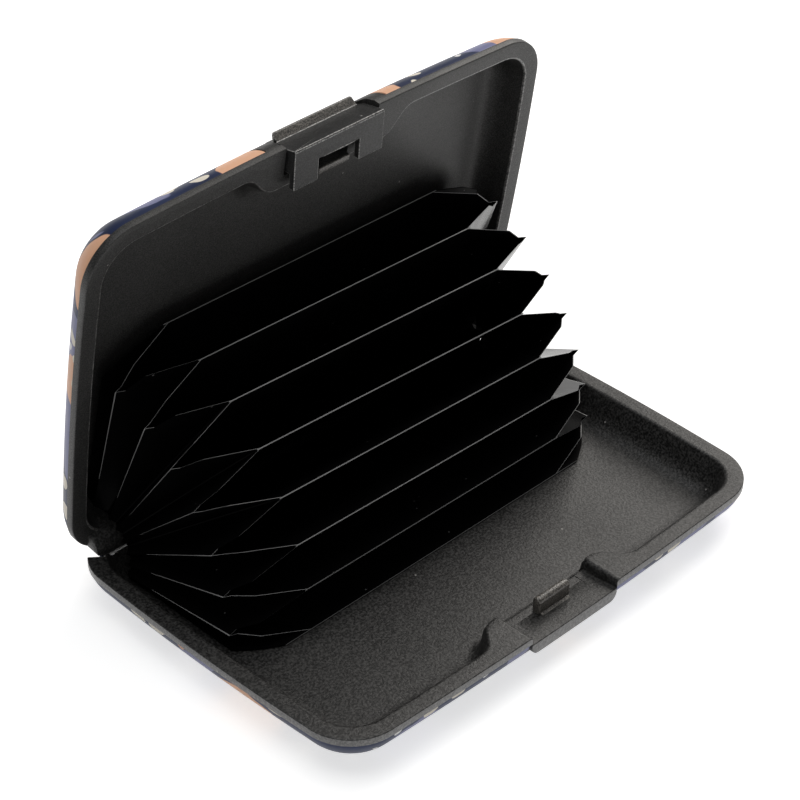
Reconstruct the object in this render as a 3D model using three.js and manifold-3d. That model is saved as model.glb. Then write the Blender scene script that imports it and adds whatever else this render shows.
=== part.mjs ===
// Hard-shell card wallet: two pan-shaped half shells on a barrel hinge, each a moulded frame in a pressed
// aluminium skin, with a sprung latch at the front and a fan of film pockets between the shells.
// Millimetres, +Z up. The origin is the middle of the tray's flat underside, +X runs along the hinge and
// +Y points to the hinge. The tray lies flat and the lid stands open.

import * as THREE from 'three';
import { mergeVertices } from 'three/addons/utils/BufferGeometryUtils.js';
import Module from 'manifold-3d';

const wasm = await Module();
wasm.setup();

// Case outline
const CASE_LENGTH = 110;
const CASE_WIDTH = 75;
const CORNER_RADIUS = 10.2;
const LONG_SIDE_BOW = 0.9;
const SHORT_SIDE_BOW = 0.6;
const CURVE_STEPS = 4;
const SAME_POINT = 0.001;

// Half shell, as insets from the outline and depths below the rim
const HALF_HEIGHT = 8.8;
const RIM_WIDTH = 3.45;
const RIM_EDGE = 0.25;
const BAND_HEIGHT = 2;
const WALL_DRAFT = 0.12;
const WALL_STRAIGHT = 2.6;
const FLOOR_FILLET = 4.6;
const FLOOR_WALL = 1.4;
const SKIN_THICKNESS = 0.7;
const SKIN_SETBACK = 0.25;
const SKIN_SHOULDER = 1.3;
const SKIN_SWEEP = 6.6;
const UNDERSIDE_INSET = 10;
const UNDERSIDE_CORNER = 2;
const PROFILE_STEPS = 7;
const SEAT_GAP = 0.3;
const FLOOR_DEPTH = HALF_HEIGHT - SKIN_THICKNESS - SEAT_GAP - FLOOR_WALL;
const SKIN_TOP = BAND_HEIGHT + SEAT_GAP;

// Barrel hinge
const OPEN_ANGLE = THREE.MathUtils.degToRad(81);
const CLOSED_GAP = 0.4;
const HINGE_INSET = 2.9;
const BARREL_FLUSH = 0.1;
const BARREL_END_INSET = 4.5;
const END_BARREL_LENGTH = 12.5;
const MIDDLE_BARREL_LENGTH = 27.2;
const BARREL_GAP = 0.4;
const BARREL_SIDES = 20;
const HINGE_PIN_RADIUS = 0.75;
const HINGE_PIN_INSET = 1.5;
const HINGE_PIN_GRIP = 9;
const PIN_CLEARANCE = 0.25;
const PIN_SIDES = 14;
const SKIN_REAR_REACH = 6.5;
const SKIN_REAR_CLEARANCE = 0.3;

// Latch and catch at the front; the latch's insets and heights are those with its plate level
const LATCH_WIDTH = 21.3;
const LATCH_CORNER = 1.5;
const LATCH_CLEARANCE = 0.4;
const LATCH_SETBACK = 0.3;
const LATCH_REACH = 8.3;
const LATCH_DROP = 2;
const LATCH_LEAN = THREE.MathUtils.degToRad(4.5);
const LATCH_PLATE = 1.25;
const LATCH_CORE = 5.4;
const LATCH_CORE_HEIGHT = 4;
const LATCH_PIVOT_INSET = 3.3;
const LATCH_PIVOT_HEIGHT = 2.2;
const LATCH_PIN_RADIUS = 0.6;
const LATCH_PIN_SEAT = 1.5;
const RIDGE_WIDTH = 19;
const RIDGE_CORNER = 1;
const RIDGE_INSET = 1.7;
const RIDGE_BASE = 3.8;
const RIDGE_FACE = 1.5;
const RIDGE_ROUND = 0.44;
const RIDGE_LEAN = THREE.MathUtils.degToRad(38);
const RIDGE_CLEARANCE = 0.2;
const WINDOW_WIDTH = 9.8;
const WINDOW_INSET = 3.9;
const WINDOW_DEPTH = 3.1;
const HOOK_LENGTH = 0.65;
const HOOK_THICKNESS = 0.6;
const SPRING_WIDTH = 5;
const SPRING_STRIP = 0.3;
const SPRING_SPAN = 1.5;
const SPRING_BASE = 0.9;
const SPRING_HEIGHT = 2.6;
const APRON_SIDE = 3.5;
const APRON_MARGIN = 0.5;
const APRON_CORNER = 1.6;
const RECESS_DEPTH = 2.2;
const TRAY_APRON_DROP = 4.2;
const LEDGE_REACH = 5.85;
const LEDGE_NOTCH = 8.6;
const CATCH_LENGTH = 7.8;
const CATCH_STEM = 1;
const CATCH_HEAD_RADIUS = 0.75;
const CATCH_RISE = 0.3;
const SHOULDER_REACH = 8.5;
const SHOULDER_HALF = 12.5;
const SHOULDER_SWEEP = 8;

// Film pockets: sheet 0 lies on the tray, the last one on the lid
const SHEET_NAMES = ['leaf_h', 'leaf_g', 'leaf_f', 'leaf_e', 'leaf_d', 'leaf_c', 'leaf_b', 'leaf_a'];
const FILM = 0.3;
const FILM_GAP = 0.3;
const SHEET_PITCH = 1.3;
const POCKET_SIDE_CLEARANCE = 4.8;
const GUSSET_DEPTH = 14;
const GUSSET_WALL = 0.9;
const ROOT_REACH = 5.5;
const ROOT_SIDE_INSET = 0.75;
const MOUTH_REACH = 37;
const MOUTH_SPREAD = 0.242;
const MOUTH_MIDDLE = 2.6;
const TIP_SETBACK = 4.8;
const CUT_START = 0.67;
const CUT_END = 0.875;
const CUT_BULGE = 0.04;
const CUT_DIP = 0.02;
const OUTER_MOUTH_INSET = 8.5;

// Places that follow from the sizes above
const REAR_Y = CASE_WIDTH / 2;
const FRONT_Y = -REAR_Y;
const TRAY_RIM_Z = HALF_HEIGHT;
const AXIS_Y = REAR_Y - HINGE_INSET;
const AXIS_Z = TRAY_RIM_Z + CLOSED_GAP / 2;
const LID_RIM_Z = TRAY_RIM_Z + CLOSED_GAP;
const BARREL_RADIUS = HINGE_INSET - BARREL_FLUSH;
const BARREL_END = CASE_LENGTH / 2 - BARREL_END_INSET;
const END_SPLIT = BARREL_END - END_BARREL_LENGTH;
const MIDDLE_HALF = MIDDLE_BARREL_LENGTH / 2;
const OUTSIDE = 4;
const PIVOT_Y = FRONT_Y + LATCH_PIVOT_INSET;
const TIP_HALF = CASE_LENGTH / 2 - RIM_WIDTH - POCKET_SIDE_CLEARANCE;
const VALLEY_HALF = TIP_HALF - GUSSET_DEPTH;
const LAST_SHEET = SHEET_NAMES.length - 1;

const X_AXIS = new THREE.Vector3(1, 0, 0);
const Y_AXIS = new THREE.Vector3(0, 1, 0);
const Z_AXIS = new THREE.Vector3(0, 0, 1);

// Solids and meshes

function toSolid(geometry) {
  const bare = geometry.clone();
  bare.deleteAttribute('normal');
  bare.deleteAttribute('uv');
  const merged = mergeVertices(bare);
  return new wasm.Manifold(new wasm.Mesh({
    numProp: 3,
    vertProperties: new Float32Array(merged.attributes.position.array),
    triVerts: new Uint32Array(merged.index.array),
  }));
}

function toGeometry(solid) {
  const mesh = solid.getMesh();
  const geometry = new THREE.BufferGeometry();
  geometry.setAttribute('position', new THREE.BufferAttribute(mesh.vertProperties, mesh.numProp));
  geometry.setIndex(new THREE.BufferAttribute(mesh.triVerts, 1));
  return geometry;
}

function union(solids) {
  return solids.reduce((whole, solid) => whole.add(solid));
}

function cut(solid, tools) {
  return tools.reduce((rest, tool) => rest.subtract(tool), solid);
}

function box(x0, x1, y0, y1, z0, z1) {
  const geometry = new THREE.BoxGeometry(x1 - x0, y1 - y0, z1 - z0);
  geometry.translate((x0 + x1) / 2, (y0 + y1) / 2, (z0 + z1) / 2);
  return toSolid(geometry);
}

// A bar of the given (y, z) section from x0 to x1
function barAlongX(section, x0, x1) {
  const geometry = new THREE.ExtrudeGeometry(section, {
    depth: x1 - x0,
    bevelEnabled: false,
    curveSegments: CURVE_STEPS * 2,
  });
  geometry.applyMatrix4(new THREE.Matrix4().makeBasis(Y_AXIS, Z_AXIS, X_AXIS));
  geometry.translate(x0, 0, 0);
  return toSolid(geometry);
}

// A plate of the given (x, z) outline from y1 down to y0
function plateAlongY(outline, y0, y1) {
  const geometry = new THREE.ExtrudeGeometry(outline, {
    depth: y1 - y0,
    bevelEnabled: false,
    curveSegments: CURVE_STEPS,
  });
  geometry.applyMatrix4(new THREE.Matrix4().makeBasis(X_AXIS, Z_AXIS, Y_AXIS.clone().negate()));
  geometry.translate(0, y1, 0);
  return toSolid(geometry);
}

function plateAlongZ(outline, z0, z1) {
  const geometry = new THREE.ExtrudeGeometry(outline, {
    depth: z1 - z0,
    bevelEnabled: false,
    curveSegments: CURVE_STEPS * 2,
  });
  geometry.translate(0, 0, z0);
  return toSolid(geometry);
}

function rodAlongX(radius, sides, x0, x1, y, z) {
  const geometry = new THREE.CylinderGeometry(radius, radius, x1 - x0, sides);
  geometry.rotateZ(Math.PI / 2);
  geometry.translate((x0 + x1) / 2, y, z);
  return toSolid(geometry);
}

// Joins rings of equal point counts into one closed body, capped at its first and last ring
function loft(rings) {
  const count = rings[0].length;
  const positions = rings.flat().flatMap((point) => [point.x, point.y, point.z]);
  const index = [];
  for (let ring = 0; ring + 1 < rings.length; ring += 1) {
    for (let step = 0; step < count; step += 1) {
      const next = (step + 1) % count;
      const here = ring * count;
      const above = here + count;
      index.push(here + step, here + next, above + next);
      index.push(here + step, above + next, above + step);
    }
  }
  const lastRing = (rings.length - 1) * count;
  const flat = (ring) => ring.map((point) => new THREE.Vector2(point.x, point.y));
  const capOf = (ring) => THREE.ShapeUtils.triangulateShape(flat(ring), []);
  capOf(rings[0]).forEach(([a, b, c]) => index.push(a, c, b));
  capOf(rings.at(-1)).forEach(([a, b, c]) => index.push(lastRing + a, lastRing + b, lastRing + c));
  const geometry = new THREE.BufferGeometry();
  geometry.setAttribute('position', new THREE.Float32BufferAttribute(positions, 3));
  geometry.setIndex(facesOut(positions, index));
  return geometry;
}

// Turns every triangle over if the body is inside out
function facesOut(positions, index) {
  const corner = (vertex) => new THREE.Vector3().fromArray(positions, vertex * 3);
  let volume = 0;
  for (let face = 0; face < index.length; face += 3) {
    volume += corner(index[face]).dot(corner(index[face + 1]).cross(corner(index[face + 2])));
  }
  return volume > 0 ? index : index.toReversed();
}

function addMesh(parent, name, geometry, material) {
  const mesh = new THREE.Mesh(geometry, material);
  mesh.name = name;
  parent.add(mesh);
  return mesh;
}

// Half shell

// The case outline drawn in by an inset: bowed sides and round corners
function outlineShape(inset) {
  const halfLength = CASE_LENGTH / 2 - inset;
  const halfWidth = CASE_WIDTH / 2 - inset;
  const radius = CORNER_RADIUS - inset * (CORNER_RADIUS - UNDERSIDE_CORNER) / UNDERSIDE_INSET;
  const sideX = halfLength - SHORT_SIDE_BOW;
  const sideY = halfWidth - LONG_SIDE_BOW;
  const centreX = sideX - radius;
  const centreY = sideY - radius;
  const shape = new THREE.Shape();
  shape.moveTo(-centreX, -sideY);
  shape.quadraticCurveTo(0, -halfWidth - LONG_SIDE_BOW, centreX, -sideY);
  shape.absarc(centreX, -centreY, radius, -Math.PI / 2, 0);
  shape.quadraticCurveTo(halfLength + SHORT_SIDE_BOW, 0, sideX, centreY);
  shape.absarc(centreX, centreY, radius, 0, Math.PI / 2);
  shape.quadraticCurveTo(0, halfWidth + LONG_SIDE_BOW, -centreX, sideY);
  shape.absarc(-centreX, centreY, radius, Math.PI / 2, Math.PI);
  shape.quadraticCurveTo(-halfLength - SHORT_SIDE_BOW, 0, -sideX, -centreY);
  shape.absarc(-centreX, -centreY, radius, Math.PI, Math.PI * 1.5);
  return shape;
}

function outlineRing(inset, z) {
  const points = outlineShape(inset).getPoints(CURVE_STEPS);
  const apart = points.filter((point, step) => point.distanceTo(points.at(step - 1)) > SAME_POINT);
  return apart.map((point) => new THREE.Vector3(point.x, point.y, z));
}

// The skin's outside in section, from its top edge down to the flat underside: x is inset, y is depth
const skinCurve = new THREE.CubicBezierCurve(
  new THREE.Vector2(SKIN_SETBACK, SKIN_TOP),
  new THREE.Vector2(SKIN_SETBACK, SKIN_TOP + SKIN_SHOULDER),
  new THREE.Vector2(UNDERSIDE_INSET - SKIN_SWEEP, HALF_HEIGHT),
  new THREE.Vector2(UNDERSIDE_INSET, HALF_HEIGHT),
);

// The frame's inside in section, from the upright wall to the floor
const floorCurve = new THREE.CubicBezierCurve(
  new THREE.Vector2(RIM_WIDTH + WALL_DRAFT, WALL_STRAIGHT),
  new THREE.Vector2(RIM_WIDTH + WALL_DRAFT * 2, WALL_STRAIGHT + (FLOOR_DEPTH - WALL_STRAIGHT) * 0.7),
  new THREE.Vector2(RIM_WIDTH + FLOOR_FILLET * 0.35, FLOOR_DEPTH),
  new THREE.Vector2(RIM_WIDTH + FLOOR_FILLET, FLOOR_DEPTH),
);

// The skin's section moved inwards by a distance, from the underside up to the top edge
function skinSection(distance) {
  const points = [];
  for (let step = PROFILE_STEPS; step >= 0; step -= 1) {
    const share = step / PROFILE_STEPS;
    const tangent = skinCurve.getTangent(share);
    const inward = new THREE.Vector2(tangent.y, -tangent.x);
    points.push(skinCurve.getPoint(share).addScaledVector(inward, distance));
  }
  return points;
}

function frameOutside() {
  const seat = skinSection(SKIN_THICKNESS + SEAT_GAP);
  return [
    ...seat,
    new THREE.Vector2(seat.at(-1).x, BAND_HEIGHT),
    new THREE.Vector2(0, BAND_HEIGHT),
    new THREE.Vector2(0, RIM_EDGE),
    new THREE.Vector2(RIM_EDGE, 0),
  ];
}

function frameInside() {
  return [
    new THREE.Vector2(RIM_WIDTH - RIM_EDGE, 0),
    new THREE.Vector2(RIM_WIDTH, RIM_EDGE),
    ...floorCurve.getPoints(PROFILE_STEPS),
  ];
}

// A body swept round the outline through a section of insets and depths; depths run away from the rim
function panSolid(section, rimZ, towardsFloor) {
  return toSolid(loft(section.map((point) => outlineRing(point.x, rimZ + towardsFloor * point.y))));
}

function frameShell(rimZ, towardsFloor) {
  return panSolid([...frameOutside(), ...frameInside()], rimZ, towardsFloor);
}

function skinShell(rimZ, towardsFloor) {
  return panSolid([...skinSection(0), ...skinSection(SKIN_THICKNESS).toReversed()], rimZ, towardsFloor);
}

// All the room inside the frame's outer surface, to trim what is moulded onto it
function frameRoom(rimZ, towardsFloor) {
  return panSolid(frameOutside(), rimZ, towardsFloor);
}

function skinRoom(rimZ, towardsFloor) {
  return panSolid([...skinSection(0), new THREE.Vector2(SKIN_SETBACK, 0)], rimZ, towardsFloor);
}

// Barrel hinge

const lidBarrelSpans = [
  [-BARREL_END, -END_SPLIT],
  [-MIDDLE_HALF, MIDDLE_HALF],
  [END_SPLIT, BARREL_END],
];
const trayBarrelSpans = [
  [-END_SPLIT + BARREL_GAP, -MIDDLE_HALF - BARREL_GAP],
  [MIDDLE_HALF + BARREL_GAP, END_SPLIT - BARREL_GAP],
];
const rearStep = BARREL_RADIUS + BARREL_GAP + BARREL_FLUSH;

// Barrels with the block that carries each on its own half shell
function barrels(spans, towardsFloor, trim) {
  const bars = spans.map(([x0, x1]) => {
    const rod = rodAlongX(BARREL_RADIUS, BARREL_SIDES, x0, x1, AXIS_Y, AXIS_Z);
    const low = AXIS_Z + Math.min(0, towardsFloor * rearStep);
    const high = AXIS_Z + Math.max(0, towardsFloor * rearStep);
    return rod.add(box(x0, x1, AXIS_Y - BARREL_RADIUS, REAR_Y, low, high));
  });
  return union(bars).intersect(trim);
}

// Room for the other shell's barrels, open to the rear so that the shells can swing
function barrelTroughs(spans, towardsFloor) {
  return spans.flatMap(([x0, x1]) => {
    const from = x0 - BARREL_GAP;
    const to = x1 + BARREL_GAP;
    const low = AXIS_Z + Math.min(-OUTSIDE * towardsFloor, towardsFloor * rearStep);
    const high = AXIS_Z + Math.max(-OUTSIDE * towardsFloor, towardsFloor * rearStep);
    return [
      rodAlongX(BARREL_RADIUS + BARREL_GAP, BARREL_SIDES, from, to, AXIS_Y, AXIS_Z),
      box(from, to, AXIS_Y, REAR_Y + OUTSIDE, low, high),
    ];
  });
}

const pinStart = MIDDLE_HALF - HINGE_PIN_GRIP;
const pinEnd = BARREL_END - HINGE_PIN_INSET;

function hingeBores() {
  const radius = HINGE_PIN_RADIUS + PIN_CLEARANCE;
  return [-1, 1].map((side) => {
    const ends = [side * (pinStart - PIN_CLEARANCE), side * (pinEnd + PIN_CLEARANCE)].sort((a, b) => a - b);
    return rodAlongX(radius, PIN_SIDES, ends[0], ends[1], AXIS_Y, AXIS_Z);
  });
}

function hingePin(side) {
  const ends = [side * pinStart, side * pinEnd].sort((a, b) => a - b);
  return rodAlongX(HINGE_PIN_RADIUS, PIN_SIDES, ends[0], ends[1], AXIS_Y, AXIS_Z);
}

// The skin steps down behind the hinge so that both shells can swing past it
function skinRearCut(towardsFloor) {
  const edge = towardsFloor * (rearStep + SKIN_REAR_CLEARANCE);
  const low = AXIS_Z + Math.min(-OUTSIDE * towardsFloor, edge);
  const high = AXIS_Z + Math.max(-OUTSIDE * towardsFloor, edge);
  return box(-CASE_LENGTH, CASE_LENGTH, REAR_Y - SKIN_REAR_REACH, REAR_Y + OUTSIDE, low, high);
}

// Front fittings

// The rim's swelling at the front: two S-curved shoulders with an inner edge between them
function shoulderShape(innerEdge) {
  const inner = FRONT_Y + SHOULDER_REACH;
  const rim = FRONT_Y + RIM_WIDTH - RIM_EDGE;
  const outer = SHOULDER_HALF + SHOULDER_SWEEP;
  const middle = SHOULDER_HALF + SHOULDER_SWEEP / 2;
  const shape = new THREE.Shape();
  shape.moveTo(-outer, FRONT_Y);
  shape.lineTo(outer, FRONT_Y);
  shape.lineTo(outer, rim);
  shape.bezierCurveTo(middle, rim, middle, inner, SHOULDER_HALF, inner);
  innerEdge.forEach(([x, y]) => shape.lineTo(x, y));
  shape.lineTo(-SHOULDER_HALF, inner);
  shape.bezierCurveTo(-middle, inner, -middle, rim, -outer, rim);
  return shape;
}

// An apron that fills a notch in the skin: square at the rim, with round corners at its far end
function apronShape(half, rimZ, farZ, corner) {
  const turn = Math.sign(farZ - rimZ) * corner;
  const shape = new THREE.Shape();
  shape.moveTo(-half, rimZ);
  shape.lineTo(half, rimZ);
  shape.lineTo(half, farZ - turn);
  shape.quadraticCurveTo(half, farZ, half - corner, farZ);
  shape.lineTo(-half + corner, farZ);
  shape.quadraticCurveTo(-half, farZ, -half, farZ - turn);
  return shape;
}

// The catch: a stem on the ledge with a round head that overhangs towards the front
function catchBar() {
  const ledgeZ = TRAY_RIM_Z - RECESS_DEPTH;
  const back = FRONT_Y + LEDGE_REACH;
  const headY = back - CATCH_HEAD_RADIUS;
  const headZ = TRAY_RIM_Z + CATCH_RISE;
  const section = new THREE.Shape();
  section.moveTo(back - CATCH_STEM, ledgeZ - FLOOR_WALL);
  section.lineTo(back, ledgeZ - FLOOR_WALL);
  section.absarc(headY, headZ, CATCH_HEAD_RADIUS, 0, Math.PI * 1.15);
  section.lineTo(back - CATCH_STEM, headZ - CATCH_HEAD_RADIUS);
  return barAlongX(section, -CATCH_LENGTH / 2, CATCH_LENGTH / 2);
}

const latchHalf = LATCH_WIDTH / 2;
const pocketHalf = latchHalf + LATCH_CLEARANCE;
const lidApronHalf = latchHalf + APRON_SIDE;

// The ridge's top, and its far side at the height of its base
const ridgeTop = RIDGE_BASE + RIDGE_FACE * Math.cos(RIDGE_LEAN) + RIDGE_ROUND * (1 + Math.sin(RIDGE_LEAN));
const ridgeFar = RIDGE_INSET + 2 * RIDGE_ROUND / Math.cos(RIDGE_LEAN);
const ridgeRoomTop = ridgeTop + LATCH_CLEARANCE;
const lidApronTop = ridgeRoomTop + APRON_MARGIN;

function makeTrayFrame() {
  const shell = frameShell(TRAY_RIM_Z, -1);
  const room = frameRoom(TRAY_RIM_Z, -1);
  const floorZ = TRAY_RIM_Z - FLOOR_DEPTH - FLOOR_WALL / 2;
  const ledge = FRONT_Y + LEDGE_REACH;
  const ledgeNotch = [
    [LEDGE_NOTCH, FRONT_Y + SHOULDER_REACH],
    [LEDGE_NOTCH, ledge],
    [-LEDGE_NOTCH, ledge],
    [-LEDGE_NOTCH, FRONT_Y + SHOULDER_REACH],
  ];
  const shoulders = plateAlongZ(shoulderShape(ledgeNotch), floorZ, TRAY_RIM_Z).intersect(room);
  const apronFar = TRAY_RIM_Z - TRAY_APRON_DROP;
  const apron = plateAlongY(
    apronShape(pocketHalf, TRAY_RIM_Z, apronFar, APRON_CORNER),
    FRONT_Y,
    FRONT_Y + RIM_WIDTH,
  );
  const recess = box(
    -pocketHalf,
    pocketHalf,
    FRONT_Y - OUTSIDE,
    FRONT_Y + SHOULDER_REACH + LATCH_CLEARANCE,
    TRAY_RIM_Z - RECESS_DEPTH,
    TRAY_RIM_Z + OUTSIDE,
  );
  const moulding = cut(union([shell, shoulders, apron]), [recess, ...barrelTroughs(lidBarrelSpans, -1)]);
  const prism = plateAlongZ(outlineShape(0), 0, LID_RIM_Z + HALF_HEIGHT);
  const whole = union([moulding, catchBar(), barrels(trayBarrelSpans, -1, prism)]);
  return cut(whole, hingeBores());
}

function makeTraySkin() {
  const apronFar = TRAY_RIM_Z - TRAY_APRON_DROP - SEAT_GAP;
  const notch = plateAlongY(
    apronShape(pocketHalf + SEAT_GAP, TRAY_RIM_Z, apronFar, APRON_CORNER + SEAT_GAP),
    FRONT_Y - OUTSIDE,
    FRONT_Y + RIM_WIDTH + OUTSIDE,
  );
  return cut(skinShell(TRAY_RIM_Z, -1), [notch, skinRearCut(-1)]);
}

function makeLidFrame() {
  const shell = frameShell(LID_RIM_Z, 1);
  const room = frameRoom(LID_RIM_Z, 1);
  const floorZ = LID_RIM_Z + FLOOR_DEPTH + FLOOR_WALL / 2;
  const shoulders = plateAlongZ(shoulderShape([]), LID_RIM_Z, floorZ).intersect(room);
  const apron = plateAlongY(
    apronShape(lidApronHalf, LID_RIM_Z, LID_RIM_Z + lidApronTop, APRON_CORNER),
    FRONT_Y,
    FRONT_Y + SHOULDER_REACH,
  ).intersect(skinRoom(LID_RIM_Z, 1));
  const corePocket = plateAlongY(
    apronShape(
      pocketHalf,
      LID_RIM_Z - OUTSIDE,
      LID_RIM_Z + LATCH_CORE_HEIGHT + LATCH_CLEARANCE,
      LATCH_CORNER + LATCH_CLEARANCE,
    ),
    FRONT_Y - OUTSIDE,
    FRONT_Y + LATCH_CORE + LATCH_CLEARANCE,
  );
  const springPocket = box(
    -SPRING_WIDTH / 2 - LATCH_CLEARANCE,
    SPRING_WIDTH / 2 + LATCH_CLEARANCE,
    FRONT_Y + LATCH_CORE,
    FRONT_Y + LATCH_CORE + LATCH_CLEARANCE + SPRING_SPAN + SEAT_GAP,
    LID_RIM_Z - OUTSIDE,
    LID_RIM_Z + LATCH_CORE_HEIGHT + LATCH_CLEARANCE,
  );
  const pinSeat = rodAlongX(
    LATCH_PIN_RADIUS + PIN_CLEARANCE,
    PIN_SIDES,
    -pocketHalf - LATCH_PIN_SEAT - PIN_CLEARANCE,
    pocketHalf + LATCH_PIN_SEAT + PIN_CLEARANCE,
    PIVOT_Y,
    LID_RIM_Z + LATCH_PIVOT_HEIGHT,
  );
  const ridgeRoom = box(
    -RIDGE_WIDTH / 2 - LATCH_CLEARANCE,
    RIDGE_WIDTH / 2 + LATCH_CLEARANCE,
    FRONT_Y - OUTSIDE,
    FRONT_Y + ridgeFar + RIDGE_CLEARANCE,
    LID_RIM_Z,
    LID_RIM_Z + ridgeRoomTop,
  );
  const tools = [corePocket, ridgeRoom, springPocket, pinSeat, ...barrelTroughs(trayBarrelSpans, 1)];
  const moulding = cut(union([shell, shoulders, apron]), tools);
  const prism = plateAlongZ(outlineShape(0), 0, LID_RIM_Z + HALF_HEIGHT);
  return cut(union([moulding, barrels(lidBarrelSpans, 1, prism)]), hingeBores());
}

function makeLidSkin() {
  const notch = plateAlongY(
    apronShape(
      lidApronHalf + SEAT_GAP,
      LID_RIM_Z,
      LID_RIM_Z + lidApronTop + SEAT_GAP,
      APRON_CORNER + SEAT_GAP,
    ),
    FRONT_Y - OUTSIDE,
    FRONT_Y + SHOULDER_REACH + OUTSIDE,
  );
  return cut(skinShell(LID_RIM_Z, 1), [notch, skinRearCut(1)]);
}

// The latch: a rocker whose plate lies in the tray's recess and whose ridge, a round-topped fin, leans out
// over its sloping front wall
function latchSection(withRidge) {
  const y = (inset) => FRONT_Y + inset;
  const z = (height) => LID_RIM_Z + height;
  const plateTop = LATCH_PLATE - LATCH_DROP;
  const round = LATCH_CORE_HEIGHT - LATCH_PIVOT_HEIGHT;
  const section = new THREE.Shape();
  section.moveTo(y(LATCH_SETBACK + RIM_EDGE), z(-LATCH_DROP));
  section.lineTo(y(LATCH_REACH), z(-LATCH_DROP));
  section.lineTo(y(LATCH_REACH), z(plateTop));
  section.lineTo(y(LATCH_CORE), z(plateTop));
  section.lineTo(y(LATCH_CORE), z(LATCH_CORE_HEIGHT - round));
  section.quadraticCurveTo(
    y(LATCH_CORE),
    z(LATCH_CORE_HEIGHT),
    y(LATCH_CORE - round),
    z(LATCH_CORE_HEIGHT),
  );
  if (withRidge) {
    const lean = new THREE.Vector2(-Math.sin(RIDGE_LEAN), Math.cos(RIDGE_LEAN)).multiplyScalar(RIDGE_FACE);
    const across = new THREE.Vector2(Math.cos(RIDGE_LEAN), Math.sin(RIDGE_LEAN)).multiplyScalar(RIDGE_ROUND);
    const drop = (LATCH_CORE_HEIGHT - RIDGE_BASE) * Math.tan(RIDGE_LEAN);
    section.lineTo(y(ridgeFar - drop), z(LATCH_CORE_HEIGHT));
    section.absarc(
      y(RIDGE_INSET) + lean.x + across.x,
      z(RIDGE_BASE) + lean.y + across.y,
      RIDGE_ROUND,
      RIDGE_LEAN,
      RIDGE_LEAN + Math.PI,
    );
  } else {
    section.lineTo(y(RIDGE_INSET + RIM_EDGE), z(LATCH_CORE_HEIGHT));
  }
  section.lineTo(y(RIDGE_INSET), z(RIDGE_BASE));
  section.lineTo(y(LATCH_SETBACK), z(RIM_EDGE - LATCH_DROP));
  return section;
}

// A bar of the latch's section with round corners at its top
function latchBar(withRidge, half, top, corner) {
  const outline = apronShape(half, LID_RIM_Z - OUTSIDE, LID_RIM_Z + top, corner);
  const trim = plateAlongY(outline, FRONT_Y - OUTSIDE, FRONT_Y + LATCH_REACH + OUTSIDE);
  return barAlongX(latchSection(withRidge), -half, half).intersect(trim);
}

function makeLatch() {
  const body = latchBar(false, latchHalf, LATCH_CORE_HEIGHT, LATCH_CORNER);
  const thumb = latchBar(true, RIDGE_WIDTH / 2, ridgeTop, RIDGE_CORNER);
  const windowTop = LID_RIM_Z - LATCH_DROP + WINDOW_DEPTH;
  const window = box(
    -WINDOW_WIDTH / 2,
    WINDOW_WIDTH / 2,
    FRONT_Y + WINDOW_INSET,
    FRONT_Y + LATCH_REACH + OUTSIDE,
    LID_RIM_Z - LATCH_DROP - OUTSIDE,
    windowTop,
  );
  const hook = box(
    -CATCH_LENGTH / 2,
    CATCH_LENGTH / 2,
    FRONT_Y + WINDOW_INSET - RIM_EDGE,
    FRONT_Y + WINDOW_INSET + HOOK_LENGTH,
    LID_RIM_Z - LATCH_DROP,
    LID_RIM_Z - LATCH_DROP + HOOK_THICKNESS,
  );
  const bore = rodAlongX(
    LATCH_PIN_RADIUS + PIN_CLEARANCE,
    PIN_SIDES,
    -CASE_LENGTH,
    CASE_LENGTH,
    PIVOT_Y,
    LID_RIM_Z + LATCH_PIVOT_HEIGHT,
  );
  return cut(body.add(thumb).subtract(window).add(hook), [bore]);
}

function makeLatchPin() {
  const half = pocketHalf + LATCH_PIN_SEAT;
  return rodAlongX(LATCH_PIN_RADIUS, PIN_SIDES, -half, half, PIVOT_Y, LID_RIM_Z + LATCH_PIVOT_HEIGHT);
}

// A strip bent to a U that presses the latch's core forwards
function makeLatchSpring() {
  const front = FRONT_Y + LATCH_CORE + LATCH_CLEARANCE;
  const back = front + SPRING_SPAN;
  const low = LID_RIM_Z + SPRING_BASE;
  const high = low + SPRING_HEIGHT;
  const section = new THREE.Shape();
  section.moveTo(front, high);
  section.lineTo(front, low + SPRING_SPAN / 2);
  section.absarc((front + back) / 2, low + SPRING_SPAN / 2, SPRING_SPAN / 2, Math.PI, Math.PI * 2);
  section.lineTo(back, high);
  section.lineTo(back - SPRING_STRIP, high);
  section.absarc(
    (front + back) / 2,
    low + SPRING_SPAN / 2,
    SPRING_SPAN / 2 - SPRING_STRIP,
    Math.PI * 2,
    Math.PI,
    true,
  );
  section.lineTo(front + SPRING_STRIP, high);
  return barAlongX(section, -SPRING_WIDTH / 2, SPRING_WIDTH / 2);
}

// Film pockets

const bottomSheetHeight = TRAY_RIM_Z - FLOOR_DEPTH + FILM_GAP + FILM / 2 - AXIS_Z;
const topSheetRoot = LID_RIM_Z + FLOOR_DEPTH - FILM_GAP - FILM / 2 - AXIS_Z;

function mouthReach(sheet) {
  return MOUTH_REACH + MOUTH_SPREAD * (sheet - MOUTH_MIDDLE) ** 2;
}

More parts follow.
